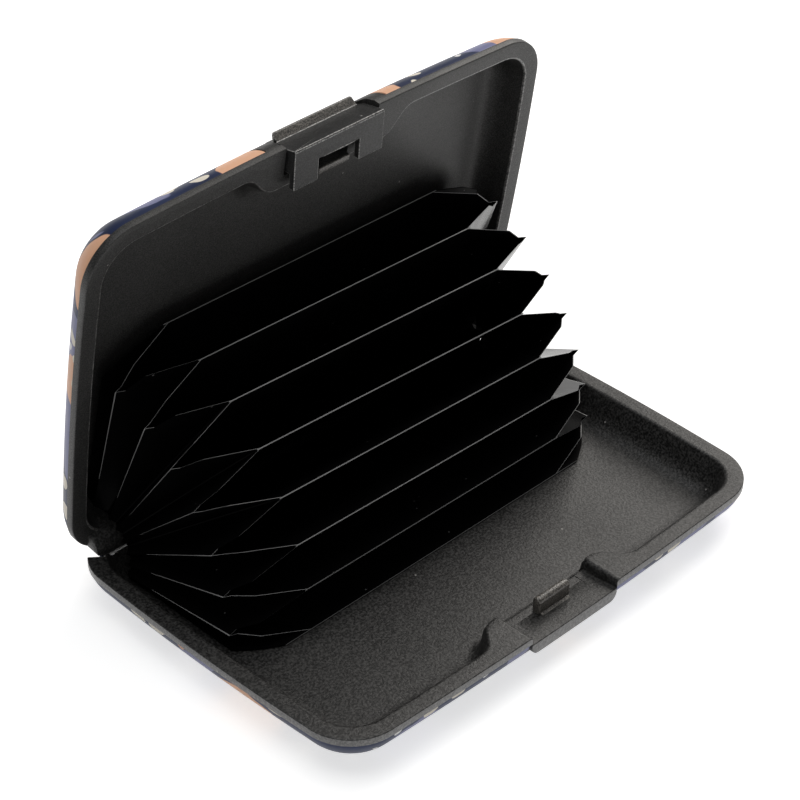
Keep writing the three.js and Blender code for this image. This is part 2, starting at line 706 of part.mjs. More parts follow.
// A sheet's own frame: its root line is the origin, its mouth lies along -Y and its face looks along +Z
function sheetFrame(sheet) {
  const height = bottomSheetHeight + sheet * SHEET_PITCH;
  const root = sheet === LAST_SHEET ? topSheetRoot : height;
  const run = mouthReach(sheet) - ROOT_REACH;
  const lean = Math.asin((root - height) / run);
  const turn = -OPEN_ANGLE * sheet / LAST_SHEET;
  return new THREE.Matrix4().makeTranslation(0, AXIS_Y, AXIS_Z)
    .multiply(new THREE.Matrix4().makeRotationX(turn))
    .multiply(new THREE.Matrix4().makeTranslation(0, -ROOT_REACH, root))
    .multiply(new THREE.Matrix4().makeRotationX(lean));
}

// The two outer sheets are full width with cut corners; the ones between narrow towards the mouth
function sheetShape(sheet) {
  const mouth = ROOT_REACH - mouthReach(sheet);
  const rootHalf = TIP_HALF - ROOT_SIDE_INSET;
  const outer = sheet === 0 || sheet === LAST_SHEET;
  const mouthHalf = outer ? TIP_HALF - OUTER_MOUTH_INSET : VALLEY_HALF;
  const shape = new THREE.Shape();
  shape.moveTo(-rootHalf, 0);
  if (outer) {
    shape.lineTo(-rootHalf, mouth + TIP_SETBACK);
  }
  shape.lineTo(-mouthHalf, mouth);
  shape.lineTo(mouthHalf, mouth);
  if (outer) {
    shape.lineTo(rootHalf, mouth + TIP_SETBACK);
  }
  shape.lineTo(rootHalf, 0);
  return shape;
}

function sheetGeometry(sheet) {
  const geometry = new THREE.ExtrudeGeometry(sheetShape(sheet), { depth: FILM, bevelEnabled: false });
  geometry.translate(0, 0, -FILM / 2);
  return geometry;
}

// A point on a sheet at a side position and a reach from the hinge, lifted off its face
function sheetPoint(sheet, x, reach, lift) {
  return new THREE.Vector3(x, ROOT_REACH - reach, lift).applyMatrix4(sheetFrame(sheet));
}

// Places on a pleat's wall at the mouth: the share of the way out to the fold and of the way up from the
// root. The wall's corner is cut back there, which leaves a narrow spike at the fold.
const mouthEdge = [[0, 1], [CUT_START, 1 + CUT_BULGE], [CUT_END, 1 - CUT_DIP], [1, 1]];
const rootEdge = mouthEdge.map(([outward]) => [outward, 0]);

// The pleat between a sheet and the next one: a V that opens inwards, from the pocket's mouth to its root
function gussetGeometry(sheet, side) {
  const lift = FILM / 2 + FILM_GAP;
  const tipReach = mouthReach(sheet + 0.5) - TIP_SETBACK;
  const between = (from, to, share) => new THREE.Vector3().lerpVectors(from, to, share);
  const foldPoint = (reach) => between(
    sheetPoint(sheet, side * TIP_HALF, reach, 0),
    sheetPoint(sheet + 1, side * TIP_HALF, reach, 0),
    0.5,
  );
  const foldRoot = foldPoint(ROOT_REACH);
  const foldTip = foldPoint(tipReach);
  const wallPoints = (own, offset, edge) => {
    const root = sheetPoint(own, side * (TIP_HALF - ROOT_SIDE_INSET), ROOT_REACH, offset);
    const valley = sheetPoint(own, side * VALLEY_HALF, mouthReach(own), offset);
    return edge.map(([outward, upward]) => between(
      between(root, valley, upward),
      between(foldRoot, foldTip, upward),
      outward,
    ));
  };
  const ring = (edge) => {
    const low = wallPoints(sheet, lift, edge);
    const high = wallPoints(sheet + 1, -lift, edge);
    const outer = [...low, ...high.toReversed().slice(1)];
    const inner = outer.map((point) => point.clone().setX(point.x - side * GUSSET_WALL));
    return [...outer, ...inner.toReversed()];
  };
  return pleat(ring(mouthEdge), ring(rootEdge));
}

// The strip of film that closes the pocket between a sheet and the next one behind their root lines
function rootFold(sheet) {
  const reach = ROOT_REACH - FILM_GAP - FILM / 2;
  const low = sheetPoint(sheet, 0, reach, 0);
  const high = sheetPoint(sheet + 1, 0, reach, 0);
  const along = high.clone().sub(low).normalize();
  const across = new THREE.Vector3().crossVectors(X_AXIS, along).multiplyScalar(FILM / 2);
  low.addScaledVector(along, FILM_GAP);
  high.addScaledVector(along, -FILM_GAP);
  const front = [low, high].map((end) => end.clone().sub(across));
  const back = [high, low].map((end) => end.clone().add(across));
  const corners = [...front, ...back].map((corner) => new THREE.Vector2(corner.y, corner.z));
  const half = TIP_HALF - ROOT_SIDE_INSET;
  return barAlongX(new THREE.Shape(corners), -half, half);
}

// A bent strip between two V-shaped end rings: the outer points, then the same ones inside in reverse
function pleat(first, last) {
  const count = first.length;
  const points = [...first, ...last];
  const index = [];
  for (let step = 0; step < count; step += 1) {
    const next = (step + 1) % count;
    index.push(step, next, count + next);
    index.push(step, count + next, count + step);
  }
  for (let step = 0; step + 1 < count / 2; step += 1) {
    const inside = count - 1 - step;
    index.push(step, inside - 1, step + 1);
    index.push(step, inside, inside - 1);
    index.push(count + step, count + step + 1, count + inside - 1);
    index.push(count + step, count + inside - 1, count + inside);
  }
  const positions = points.flatMap((point) => [point.x, point.y, point.z]);
  const geometry = new THREE.BufferGeometry();
  geometry.setAttribute('position', new THREE.Float32BufferAttribute(positions, 3));
  geometry.setIndex(facesOut(positions, index));
  return geometry;
}

// Finishes
const framePlastic = new THREE.MeshStandardMaterial({ color: 0x232323, roughness: 0.62, metalness: 0 });
const latchPlastic = new THREE.MeshStandardMaterial({ color: 0x1c1c1c, roughness: 0.5, metalness: 0 });
const printedSkin = new THREE.MeshStandardMaterial({ color: 0x2b3860, roughness: 0.35, metalness: 0.4 });
const pocketFilm = new THREE.MeshStandardMaterial({ color: 0x070707, roughness: 0.18, metalness: 0 });
const pinSteel = new THREE.MeshStandardMaterial({ color: 0xb4b6b8, roughness: 0.3, metalness: 1 });

// Assembly
const wallet = new THREE.Group();
addMesh(wallet, 'tray_frame', toGeometry(makeTrayFrame()), framePlastic);
addMesh(wallet, 'tray_skin', toGeometry(makeTraySkin()), printedSkin);
addMesh(wallet, 'hinge_pin_left', toGeometry(hingePin(-1)), pinSteel);
addMesh(wallet, 'hinge_pin_right', toGeometry(hingePin(1)), pinSteel);

// The lid's pieces are shaped as they lie when shut, then swung open about the hinge
const lidHinge = new THREE.Group();
lidHinge.position.set(0, AXIS_Y, AXIS_Z);
lidHinge.rotation.x = -OPEN_ANGLE;
const lid = new THREE.Group();
lid.position.set(0, -AXIS_Y, -AXIS_Z);
lidHinge.add(lid);
wallet.add(lidHinge);
addMesh(lid, 'lid_frame', toGeometry(makeLidFrame()), framePlastic);
addMesh(lid, 'lid_skin', toGeometry(makeLidSkin()), printedSkin);

// The open lid's latch leans out from the place in which it holds the catch
const latchPivot = new THREE.Group();
latchPivot.position.set(0, PIVOT_Y, LID_RIM_Z + LATCH_PIVOT_HEIGHT);
latchPivot.rotation.x = -LATCH_LEAN;
lid.add(latchPivot);
const latch = addMesh(latchPivot, 'latch', toGeometry(makeLatch()), latchPlastic);
latch.position.copy(latchPivot.position).negate();
addMesh(lid, 'latch_pin', toGeometry(makeLatchPin()), pinSteel);
addMesh(lid, 'latch_spring', toGeometry(makeLatchSpring()), pinSteel);

SHEET_NAMES.forEach((name, sheet) => {
  const mesh = addMesh(wallet, name, sheetGeometry(sheet), pocketFilm);
  mesh.applyMatrix4(sheetFrame(sheet));
});
for (let sheet = 0; sheet < LAST_SHEET; sheet += 1) {
  const pair = `${SHEET_NAMES[sheet + 1].at(-1)}${SHEET_NAMES[sheet].at(-1)}`;
  addMesh(wallet, `root_fold_${pair}`, toGeometry(rootFold(sheet)), pocketFilm);
  addMesh(wallet, `gusset_${pair}_left`, gussetGeometry(sheet, -1), pocketFilm);
  addMesh(wallet, `gusset_${pair}_right`, gussetGeometry(sheet, 1), pocketFilm);
}

export default wallet;
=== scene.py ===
"""Dresses a packed hard-shell card wallet: moulded frames, printed skins, hinge, latch and film pockets."""

import math
from collections import namedtuple

import bmesh
import bpy
import numpy as np
from bpy.props import FloatProperty, FloatVectorProperty, PointerProperty
from bpy.types import Operator, Panel, PropertyGroup
from mathutils import Matrix, Vector


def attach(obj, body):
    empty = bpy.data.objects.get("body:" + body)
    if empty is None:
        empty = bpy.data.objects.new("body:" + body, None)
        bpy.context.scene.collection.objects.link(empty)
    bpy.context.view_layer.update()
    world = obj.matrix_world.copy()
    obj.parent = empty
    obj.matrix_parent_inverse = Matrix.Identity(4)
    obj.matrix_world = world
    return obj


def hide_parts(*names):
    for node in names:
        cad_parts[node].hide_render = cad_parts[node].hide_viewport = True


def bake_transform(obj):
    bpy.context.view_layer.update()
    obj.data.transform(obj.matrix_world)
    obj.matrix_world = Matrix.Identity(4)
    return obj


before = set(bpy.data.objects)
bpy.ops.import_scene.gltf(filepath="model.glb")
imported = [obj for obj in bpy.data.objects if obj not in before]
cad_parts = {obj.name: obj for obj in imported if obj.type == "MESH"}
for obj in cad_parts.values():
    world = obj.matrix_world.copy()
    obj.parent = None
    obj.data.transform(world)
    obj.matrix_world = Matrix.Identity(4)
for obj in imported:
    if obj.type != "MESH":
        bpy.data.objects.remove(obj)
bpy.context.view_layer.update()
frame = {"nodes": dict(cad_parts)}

bl_info = {
    "name": "Card wallet",
    "version": (1, 0, 0),
    "blender": (4, 5, 0),
    "location": "3D View > Sidebar > Wallet",
    "description": "Frames, printed skins, hinge, latch and film pockets of an open hard-shell card wallet",
    "category": "Object",
}

MM = 0.001

# Camera, fitted to the case's rims
CAMERA_PLACE = (-0.26940, -0.25553, 0.30415)
CAMERA_AZIMUTH = math.radians(-45.80)
CAMERA_ELEVATION = math.radians(36.02)
CAMERA_ROLL = math.radians(1.09)
CAMERA_LENS = 116.62
CAMERA_NEAR = 0.01

# Stage, in metres and watts
Lamp = namedtuple("Lamp", "name place size power colour")
LAMPS = (
    Lamp("key", (0.88, 0.32, 0.70), 0.7, 7.0, (1.0, 0.96, 0.91)),
    Lamp("top", (-0.05, 0.10, 1.0), 0.8, 3.7, (1.0, 1.0, 1.0)),
    Lamp("fill", (-0.70, -0.60, 0.50), 0.5, 0.8, (1.0, 1.0, 1.0)),
)
SKY_STRENGTH = 0.15
FLOOR_HALF = 4.0
FLOOR_COLOUR = (0.86, 0.86, 0.86, 1)
FLOOR_GLOW = 0.63

# Half shell, in millimetres: insets from the case's outline and depths below the rim
LONG_SIDE_BOW = 0.9
SHORT_SIDE_BOW = 0.6
UNDERSIDE_INSET = 10
UNDERSIDE_CORNER = 2
BAND_HEIGHT = 1.5
FLOOR_DEPTH = 6.4
FLOOR_BORDER = 0.8
WALL_STRAIGHT = 1.6
WALL_LEAST = 0.1
WALL_DRAFT = 0.55
FLOOR_FILLET = 5.0
SHOULDER_FILLET = 2
FILLET_FALL = 0.7
FILLET_LEAN = 0.35
SKIN_THICKNESS = 0.7
SKIN_SETBACK = 0.25
SKIN_TOP = 1.62
SKIN_SHOULDER = 1.3
SKIN_SWEEP = 6.6
SKIN_EDGE_SHARE = 0.012
SEAT_DISTANCE = 1
RIM_ROUND = 0.22
TRAY_INNER_ROUND = 0.75
LID_INNER_ROUND = 0.4
EDGE_ROUND = 0.12

# Fineness of the half shell's net; the lid's three kinds of column have the same number of points
SEAT_STEPS = 8
BAND_STEPS = 4
EDGE_STEPS = 2
ROUND_STEPS = 4
BAND_POINTS = EDGE_STEPS + ROUND_STEPS + 2
SHELF_STEPS = 6
LID_OUTSIDE_POINTS = SHELF_STEPS + BAND_POINTS
APRON_STEPS = SHELF_STEPS - 1
POCKET_STEPS = 3
CEILING_STEPS = LID_OUTSIDE_POINTS - 2 * POCKET_STEPS
RIM_POINTS = 4
FILLET_STEPS = 10
SKIN_OUTSIDE_STEPS = 20
SKIN_INSIDE_STEPS = 12
SECTION_SAMPLES = 241
CORNER_STEPS = 14
SIDE_STEPS = 10
SHOULDER_STEPS = 15
RECESS_STEPS = 8
NOTCH_STEPS = 7
NOTCH_TURN = 1.5
POCKET_TURN = 1.4
COLUMN_SPACING = 1
STEP_WIDTH = 0.03
STEP_ANGLE = 0.01
# Rows of the tray's outer band, which is painted lighter as painted light
BAND_ROWS = range(SEAT_STEPS, SEAT_STEPS + BAND_STEPS)
# Rows of the lid's inner rim edge, which carry a painted highlight
LID_EDGE_START = SEAT_STEPS + LID_OUTSIDE_POINTS + RIM_POINTS
LID_PAINTED_HIGHLIGHT_ROWS = range(LID_EDGE_START, LID_EDGE_START + ROUND_STEPS)
SHARP_ANGLE = math.radians(38)
WELD_DISTANCE = 0.002
SLIVER_LENGTH = 0.001

# Hinge
AXIS = (34.6, 9.0)
AXIS_RISE = 0.2
TROUGH_RADIUS = 3.2
TROUGH_INSET = 1.5
BARREL_RADIUS = 2.8
BARREL_SOFT = 0.2
BARREL_LIP = 0.06
BARREL_STEPS = 14
BARREL_ARC_STEPS = 19
BARREL_SETBACK = 0.02
REAR_STEP = 3.3
TROUGH_DEPTH = REAR_STEP - AXIS_RISE
SKIN_REAR_Y = 31
SKIN_REAR_DEPTH = 3.4
END_BARREL = (38, 50.5)
MIDDLE_BARREL = (0, 13.6)
TRAY_BARREL = (14.0, 37.6)
BARREL_GAP = 0.4

# Front fittings
SHOULDER_REACH = 8.5
SHOULDER_HALF = 12.5
SHOULDER_SWEEP = 8
SHOULDER_TIP = 1
RECESS_HALF = 11.05
RECESS_LIP = 1.75
RECESS_DEPTH = 2.2
RECESS_ROUND = 0.75
LEDGE_REACH = 6.25
LEDGE_HALF = 8.6
LEDGE_MIDDLE = 3.0
LEDGE_STEP = 0.1
LEDGE_SLOPE = 0.06
LEDGE_MARGIN = 0.2
LEDGE_CREST = 0.3
CATCH_HALF = 4
CATCH_FRONT = 5.05
CATCH_BACK = 6.75
CATCH_HEAD = 0.9
CATCH_ARC = (-0.3, 3.3)
CATCH_ARC_STEPS = 15
CATCH_DROP = -0.15
CATCH_NECK = 0.4
CATCH_SINK = 0.3
CATCH_ROOT = RECESS_DEPTH + LEDGE_STEP + CATCH_SINK
CATCH_END = 0.4
CATCH_END_TURN = 1.5
CATCH_END_STEPS = 6
CATCH_END_SHARE = 0.7
FOOT_FRONT = 4.35
FOOT_MIDDLE = 4.7
FOOT_CREST = 4.95
FOOT_EDGE = 0.1
FOOT_RISE = 0.42
FOOT_ENDS = ((-3.7, 0.96), (-3.6, 1), (3.5, 1), (3.6, 0.96))
RIB_HALF = 3.7
RIB_SPAN = (6.85, 8.2)
RIB_HEIGHT = 1.35
RIB_ROUND = 0.3
RIB_ROOT = 0.6
RIB_ENDS = ((0, 0.9), (0.1, 0.98), (0.3, 1))
TRAY_APRON = 4.2
LID_APRON_HALF = 14.15
LID_APRON = 6.6
APRON_CORNER = 1.6
NOTCH_GAP = 0.3
POCKET_CEILING = 4.4
POCKET_CORNER = 1.9
POCKET_REACH = 5.8
POCKET_LIP = 0.05
SPRING_ROOM_HALF = 4.35
SPRING_ROOM_REACH = 7.6
RIDGE_ROOM_HALF = 9.9
RIDGE_ROOM_REACH = 3.02
RIDGE_ROOM_TOP = 6.1

# Latch: its hook and thumb ridge by their place on the shut lid
HOOK_HALF = 3.95
HOOK_INSETS = (4, 4.4)
HOOK_LEVEL = -1.3
HOOK_SHIFT = 0.62
RIDGE_INSET = 2.2
RIDGE_LEVEL = 4
LATCH_WELD = 0.08
LATCH_FLAT_ANGLE = math.radians(1)
LATCH_BEVEL = 0.13
LATCH_BEVEL_STEPS = 3
LATCH_BEVEL_ANGLE = math.radians(30)

# Film pockets, sheet 0 on the tray and sheet 7 on the lid
LEAVES = "hgfedcba"
LAST_SHEET = len(LEAVES) - 1
LEAF_BODIES = ["tray"] + [f"pocket_{leaf}" for leaf in LEAVES[1:-1]] + ["lid"]
SHEET_PITCH = 1.3
BOTTOM_SHEET = -6.25
TOP_SHEET_ROOT = 6.15
ROOT_REACH = 5.5
MOUTH_REACH = 37
MOUTH_SPREAD = 0.242
MOUTH_MIDDLE = 2.6
TIP_HALF = 46.75
VALLEY_HALF = 32.75
ROOT_HALF = 46
OUTER_MOUTH_HALF = (38.25, 33.2)
TIP_SETBACK = 4.8
TWIST_DEGREES = 4.4
TWIST_SKEW = 1.2
SAG_DEGREES = 1.5
SAG_SHEETS = 5
FILM = 0.2
GUSSET_WALL = 0.2
GUSSET_OVERLAP = 0.3
GUSSET_LIFT = 0.11
GUSSET_SHARP_ANGLE = math.radians(25)
FOLD_LINE = 0.985
# Rows next to the hinge that the folds' painted highlight leaves out
FOLD_FADE = 2
ROOT_FOLD_BULGE = 0.5
CUT_EDGE = ((0, 1), (0.67, 1.04), (0.875, 0.98), (1, 1))
LEAF_ROWS = 13
LEAF_COLUMNS = 25
FOLD_STEPS = 9
ROOT_FOLD_COLUMNS = 13
BEND_SAMPLES = 401

# Finishes: colours of dust, shares of a colour in the grain, and the print's chips in metres and cells
PLASTIC_DUST = (0.28, 0.27, 0.26)
FILM_DUST = (0.10, 0.10, 0.10)
DUST_SIZE = 0.13
GRAIN_DARK = 0.35
GRAIN_LIGHT = 2.6
GRAIN_BAND = (0.40, 0.66)
FILM_LIGHT = 2.2
GROUND_DARK = 0.6
GROUND_LIGHT = 1.6
PRINT_WOBBLE = 0.006
CHIP_SOFTNESS = 0.015
Chip = namedtuple("Chip", "colour scale offset radius chosen")
CHIPS = (
    Chip("cool", 64.0, (0.013, 0.002, 0.007), 0.50, 0.55),
    Chip("warm", 60.0, (0.007, 0.011, 0.019), 0.50, 0.42),
    Chip("pale", 165.0, (0.021, 0.005, 0.017), 0.34, 0.42),
    Chip("dots", 260.0, (0.003, 0.031, 0.009), 0.26, 0.2),
)

Column = namedtuple("Column", "side value across along")


# Properties

class CaseSizes(PropertyGroup):
    """Sizes of the two half shells."""

    length: FloatProperty(
        name="Length", description="Case length along the hinge", default=110 * MM, unit="LENGTH")
    width: FloatProperty(
        name="Width", description="Case width from latch to hinge", default=75 * MM, unit="LENGTH")
    corner: FloatProperty(
        name="Corner radius", description="Radius of the case's corners", default=10.2 * MM, unit="LENGTH")
    height: FloatProperty(
        name="Half height", description="Depth of one half shell", default=8.8 * MM, unit="LENGTH")
    rim: FloatProperty(
        name="Rim width", description="Width of the frame's flat rim", default=3.45 * MM, unit="LENGTH")
    opening: FloatProperty(
        name="Opening", description="Angle at which the lid stands",
        default=math.radians(81), unit="ROTATION")


class Finishes(PropertyGroup):
    """Colours of the wallet's materials."""

    frame: FloatVectorProperty(
        name="Frame", description="Moulded plastic", default=(0.024, 0.0236, 0.0230), subtype="COLOR")
    film: FloatVectorProperty(
        name="Film", description="Pocket film", default=(0.0012, 0.0012, 0.0013), subtype="COLOR")
    ground: FloatVectorProperty(
        name="Ground", description="Ground colour of the print",
        default=(0.014, 0.024, 0.070), subtype="COLOR")
    warm: FloatVectorProperty(
        name="Warm", description="Warm shapes of the print", default=(0.88, 0.50, 0.32), subtype="COLOR")
    pale: FloatVectorProperty(
        name="Pale", description="Pale shapes of the print", default=(0.86, 0.80, 0.68), subtype="COLOR")
    cool: FloatVectorProperty(
        name="Cool", description="Cool shapes of the print", default=(0.20, 0.21, 0.37), subtype="COLOR")
    dots: FloatVectorProperty(
        name="Dots", description="Small dots of the print", default=(0.90, 0.90, 0.88), subtype="COLOR")


# Mesh helpers

def link_object(name, data):
    """An object for a mesh, a lamp or a camera, linked to the scene."""
    made = bpy.data.objects.new(name, data)
    bpy.context.scene.collection.objects.link(made)
    return made


def make_piece(name, points, faces, material, body, sharp=SHARP_ANGLE, accents=()):
    """A smooth-shaded mesh from points in millimetres, which rides on a body if it has one.

    Accents are pairs of a material and the faces that have it.
    """
    mesh = bpy.data.meshes.new(name)
    mesh.from_pydata([Vector(point) * MM for point in points], [], faces)
    for slot, (_, chosen) in enumerate(accents, 1):
        for face in chosen:
            mesh.polygons[face].material_index = slot
    shape = bmesh.new()
    shape.from_mesh(mesh)
    bmesh.ops.remove_doubles(shape, verts=shape.verts, dist=WELD_DISTANCE * MM)
    bmesh.ops.dissolve_degenerate(shape, edges=shape.edges, dist=SLIVER_LENGTH * MM)
    bmesh.ops.recalc_face_normals(shape, faces=shape.faces)
    shape.to_mesh(mesh)
    shape.free()
    for finish in (material, *(accent for accent, _ in accents)):
        mesh.materials.append(finish)
    mesh.shade_smooth()
    mesh.set_sharp_from_angle(angle=sharp)
    piece = link_object(name, mesh)
    if body:
        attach(piece, body)
    return piece


def band_faces(columns, rows, closed):
    """Quads of a net of points listed column by column; a closed net joins its last column to its first."""
    faces = []
    for column in range(columns if closed else columns - 1):
        here = column * rows
        beyond = (column + 1) % columns * rows
        for row in range(rows - 1):
            faces.append((here + row, beyond + row, beyond + row + 1, here + row + 1))
    return faces


def capped_faces(columns, rows):
    """Quads of a closed net, with its first and last rows filled."""
    faces = band_faces(columns, rows, True)
    faces.append([column * rows for column in range(columns)])
    faces.append([column * rows + rows - 1 for column in range(columns)])
    return faces


def shell_faces(points, columns):
    """Quads of a half shell's net of points."""
    return capped_faces(len(columns), len(points) // len(columns))


def shell_rows(points, columns, chosen):
    """Faces of a half shell's net that lie in the chosen rows."""
    rows = len(points) // len(columns)
    return [column * (rows - 1) + row for column in range(len(columns)) for row in chosen]


def bezier(corners, share):
    """A point of a cubic curve."""
    a, b, c, d = (np.array(corner, float) for corner in corners)
    rest = 1 - share
    return a * rest ** 3 + 3 * b * share * rest ** 2 + 3 * c * share ** 2 * rest + d * share ** 3


def quarter_round(start, corner, end, steps=ROUND_STEPS):
    """Points of a soft edge from start round a corner to end, in inset and depth."""
    start, corner, end = (np.array(point, float) for point in (start, corner, end))
    shares = np.linspace(0, 1, steps + 1)
    return [tuple(start * (1 - s) ** 2 + 2 * corner * s * (1 - s) + end * s ** 2) for s in shares]


# Half shell

class Shell:
    """The case's outline and sections in millimetres."""

    def __init__(self, sizes):
        self.half_length = sizes.length / MM / 2
        self.half_width = sizes.width / MM / 2
        self.corner = sizes.corner / MM
        self.height = sizes.height / MM
        self.lid_rim = self.height + 2 * AXIS_RISE
        self.rim = sizes.rim / MM
        self.opening = sizes.opening
        self.centre_x = self.half_length - SHORT_SIDE_BOW - self.corner
        self.centre_y = self.half_width - LONG_SIDE_BOW - self.corner
        self.skin_corners = (
            (SKIN_SETBACK, SKIN_TOP),
            (SKIN_SETBACK, SKIN_TOP + SKIN_SHOULDER),
            (UNDERSIDE_INSET - SKIN_SWEEP, self.height),
            (UNDERSIDE_INSET, self.height),
        )
        self.shares = np.linspace(0, 1, SECTION_SAMPLES)

    def skin_point(self, share, distance=0):
        """A point of the skin's section moved inwards by a distance, as inset and depth."""
        step = 0.001
        low, high = max(0, share - step), min(1, share + step)
        run = bezier(self.skin_corners, high) - bezier(self.skin_corners, low)
        run /= np.linalg.norm(run)
        point = bezier(self.skin_corners, share) + distance * np.array((run[1], -run[0]))
        return float(point[0]), float(point[1])

    def skin_share(self, depth, distance=0):
        """How far down the skin's section a depth lies."""
        depths = [self.skin_point(share, distance)[1] for share in self.shares]
        return float(np.interp(depth, depths, self.shares))

    def outline(self, column, inset):
        """A column's place on the outline drawn in by an inset."""
        radius = self.corner - inset * (self.corner - UNDERSIDE_CORNER) / UNDERSIDE_INSET
        side_x = self.half_length - inset - SHORT_SIDE_BOW
        side_y = self.half_width - inset - LONG_SIDE_BOW
        centre_x, centre_y = side_x - radius, side_y - radius
        if column.side == "long":
            free = SHOULDER_HALF + SHOULDER_SWEEP
            drawn_in = max(0, (abs(column.value) - free) / (self.centre_x - free))
            x = column.value * (1 + (centre_x / self.centre_x - 1) * drawn_in)
            return x, column.along * (side_y + LONG_SIDE_BOW * (1 - (x / centre_x) ** 2))
        if column.side == "short":
            y = column.value * centre_y / self.centre_y
            return column.across * (side_x + SHORT_SIDE_BOW * (1 - (y / centre_y) ** 2)), y
        x = column.across * (centre_x + radius * math.cos(column.value))
        return x, column.along * (centre_y + radius * math.sin(column.value))

    def columns(self, front, rear, rear_angles):
        """Columns all round the case from chosen places along the front and the rear."""
        front_turn = np.linspace(0, math.pi / 2, CORNER_STEPS + 1)[1:-1]
        turn = sorted([*front_turn, *rear_angles])
        sides = np.linspace(-self.centre_y, self.centre_y, SIDE_STEPS + 1)
        found = [Column("long", x, 0, -1) for x in self.along(front)]
        found += [Column("corner", angle, 1, -1) for angle in front_turn[::-1]]
        found += [Column("short", y, 1, 0) for y in sides]
        found += [Column("corner", angle, 1, 1) for angle in turn]
        found += [Column("long", x, 0, 1) for x in self.along(rear)[::-1]]
        found += [Column("corner", angle, -1, 1) for angle in turn[::-1]]
        found += [Column("short", y, -1, 0) for y in sides[::-1]]
        found += [Column("corner", angle, -1, -1) for angle in front_turn]
        return found

    def along(self, marks):
        """Places from end to end of a long side: the marks on both halves, with even steps elsewhere."""
        half = set(marks)
        for place in np.linspace(0, self.centre_x, 2 * SIDE_STEPS + 1):
            if min(abs(place - mark) for mark in marks) > COLUMN_SPACING:
                half.add(float(place))
        half.update((0.0, self.centre_x))
        return sorted({side * place for place in half for side in (-1, 1)})

    def corner_angle(self, x):
        """Where a corner's outline passes a distance from the case's middle."""
        return math.acos((x - self.centre_x) / self.corner)


def shoulder_curve():
    """The rim's swelling as an S-curve: distances from the middle, and shares of its full reach."""
    middle = SHOULDER_HALF + SHOULDER_SWEEP / 2
    corners = ((SHOULDER_HALF, 1), (middle, 1), (middle, 0), (SHOULDER_HALF + SHOULDER_SWEEP, 0))
    points = [bezier(corners, share) for share in np.linspace(0, 1, SHOULDER_STEPS)]
    return [float(x) for x, _ in points], [share for _, share in points]


SHOULDER_MARKS, SHOULDER_SHARES = shoulder_curve()


def shoulder_share(x):
    """How much of its full swelling the rim has at a distance from the middle."""
    return float(np.interp(x, SHOULDER_MARKS, SHOULDER_SHARES))


def apron_depth(x, half, far, corner, near):
    """Depth of an apron's lower edge, square with round corners, and of the plain band beside it."""
    if x > half:
        return near
    into = max(0, x - (half - corner))
    return far - corner + math.sqrt(max(0, corner ** 2 - into ** 2))


def step_marks(place, width=STEP_WIDTH):
    """Columns on both sides of an upright step."""
    return [place - width, place + width]


def corner_marks(half, corner, turn=NOTCH_TURN):
    """Columns round the corner of an apron, a notch or the pocket."""
    return [half - corner * (1 - math.sin(angle)) for angle in np.linspace(0, turn, NOTCH_STEPS)]


def rim_section(outside, top, reach, soft, swell=0, fall=0, step=0):
    """Inset and depth points from outside, over the rim, down the wall and onto the floor.

    The rim's inner edge is soft. The fillet on the floor is smaller where the rim swells.
    The rim may fall inwards, and step down behind the ledge.
    """
    inner = reach - soft
    ledge = min(LEDGE_REACH, inner - LEDGE_MARGIN)
    low = top + fall + step
    points = list(outside)
    points += [(ledge / 2, top + fall / 2), (ledge - LEDGE_SLOPE, top + fall)]
    points += [(ledge, top + fall + step * LEDGE_CREST), (ledge + LEDGE_SLOPE, low)]
    points += quarter_round((inner, low), (reach, low), (reach, low + soft))
    wall_top = max(WALL_STRAIGHT, low + soft + WALL_LEAST)
    spread = FLOOR_FILLET + (SHOULDER_FILLET - FLOOR_FILLET) * swell
    fillet = (
        (reach + WALL_DRAFT, wall_top),
        (reach + WALL_DRAFT * 2, wall_top + (FLOOR_DEPTH - wall_top) * FILLET_FALL),
        (reach + WALL_DRAFT + spread * FILLET_LEAN, FLOOR_DEPTH),
        (reach + WALL_DRAFT + spread, FLOOR_DEPTH),
    )
    points += [tuple(bezier(fillet, share)) for share in np.linspace(0, 1, FILLET_STEPS)]
    points.append((reach + WALL_DRAFT + spread + FLOOR_BORDER, FLOOR_DEPTH))
    return points


def band_edge(band, top):
    """The plain band from its lower edge to the rim."""
    points = quarter_round((EDGE_ROUND, band), (0, band), (0, band - EDGE_ROUND), EDGE_STEPS)
    return points + quarter_round((0, top + RIM_ROUND), (0, top), (RIM_ROUND, top))


def seat_points(shell, band):
    """The hidden outside of a frame, from its underside up to the band."""
    low = shell.skin_share(band, SEAT_DISTANCE)
    return [shell.skin_point(share, SEAT_DISTANCE) for share in np.linspace(1, low, SEAT_STEPS)]


def corner_drop(into, radius):
    """How far a round corner lies below its top, at a distance in from its side."""
    left = max(0, radius - into)
    return radius - math.sqrt(radius ** 2 - left ** 2)


def recess_share(x):
    """How much of the recess's depth is left at a distance from the middle.

    The recess's side walls are round on top.
    """
    return 1 if x < RECESS_HALF else corner_drop(x - RECESS_HALF, RECESS_ROUND) / RECESS_DEPTH


def recess_marks():
    """Columns up the recess's side wall and round the tip of the shoulder beside it."""
    first_turn, foot = 0.15, 0.002
    turn = [1 - math.cos(angle) for angle in np.linspace(first_turn, math.pi / 2, RECESS_STEPS)]
    wall = [RECESS_HALF + RECESS_ROUND * share for share in turn]
    tip = [RECESS_HALF + SHOULDER_TIP * share for share in turn[RECESS_STEPS // 2:]]
    return [RECESS_HALF - STEP_WIDTH, RECESS_HALF + foot, *wall, *tip]


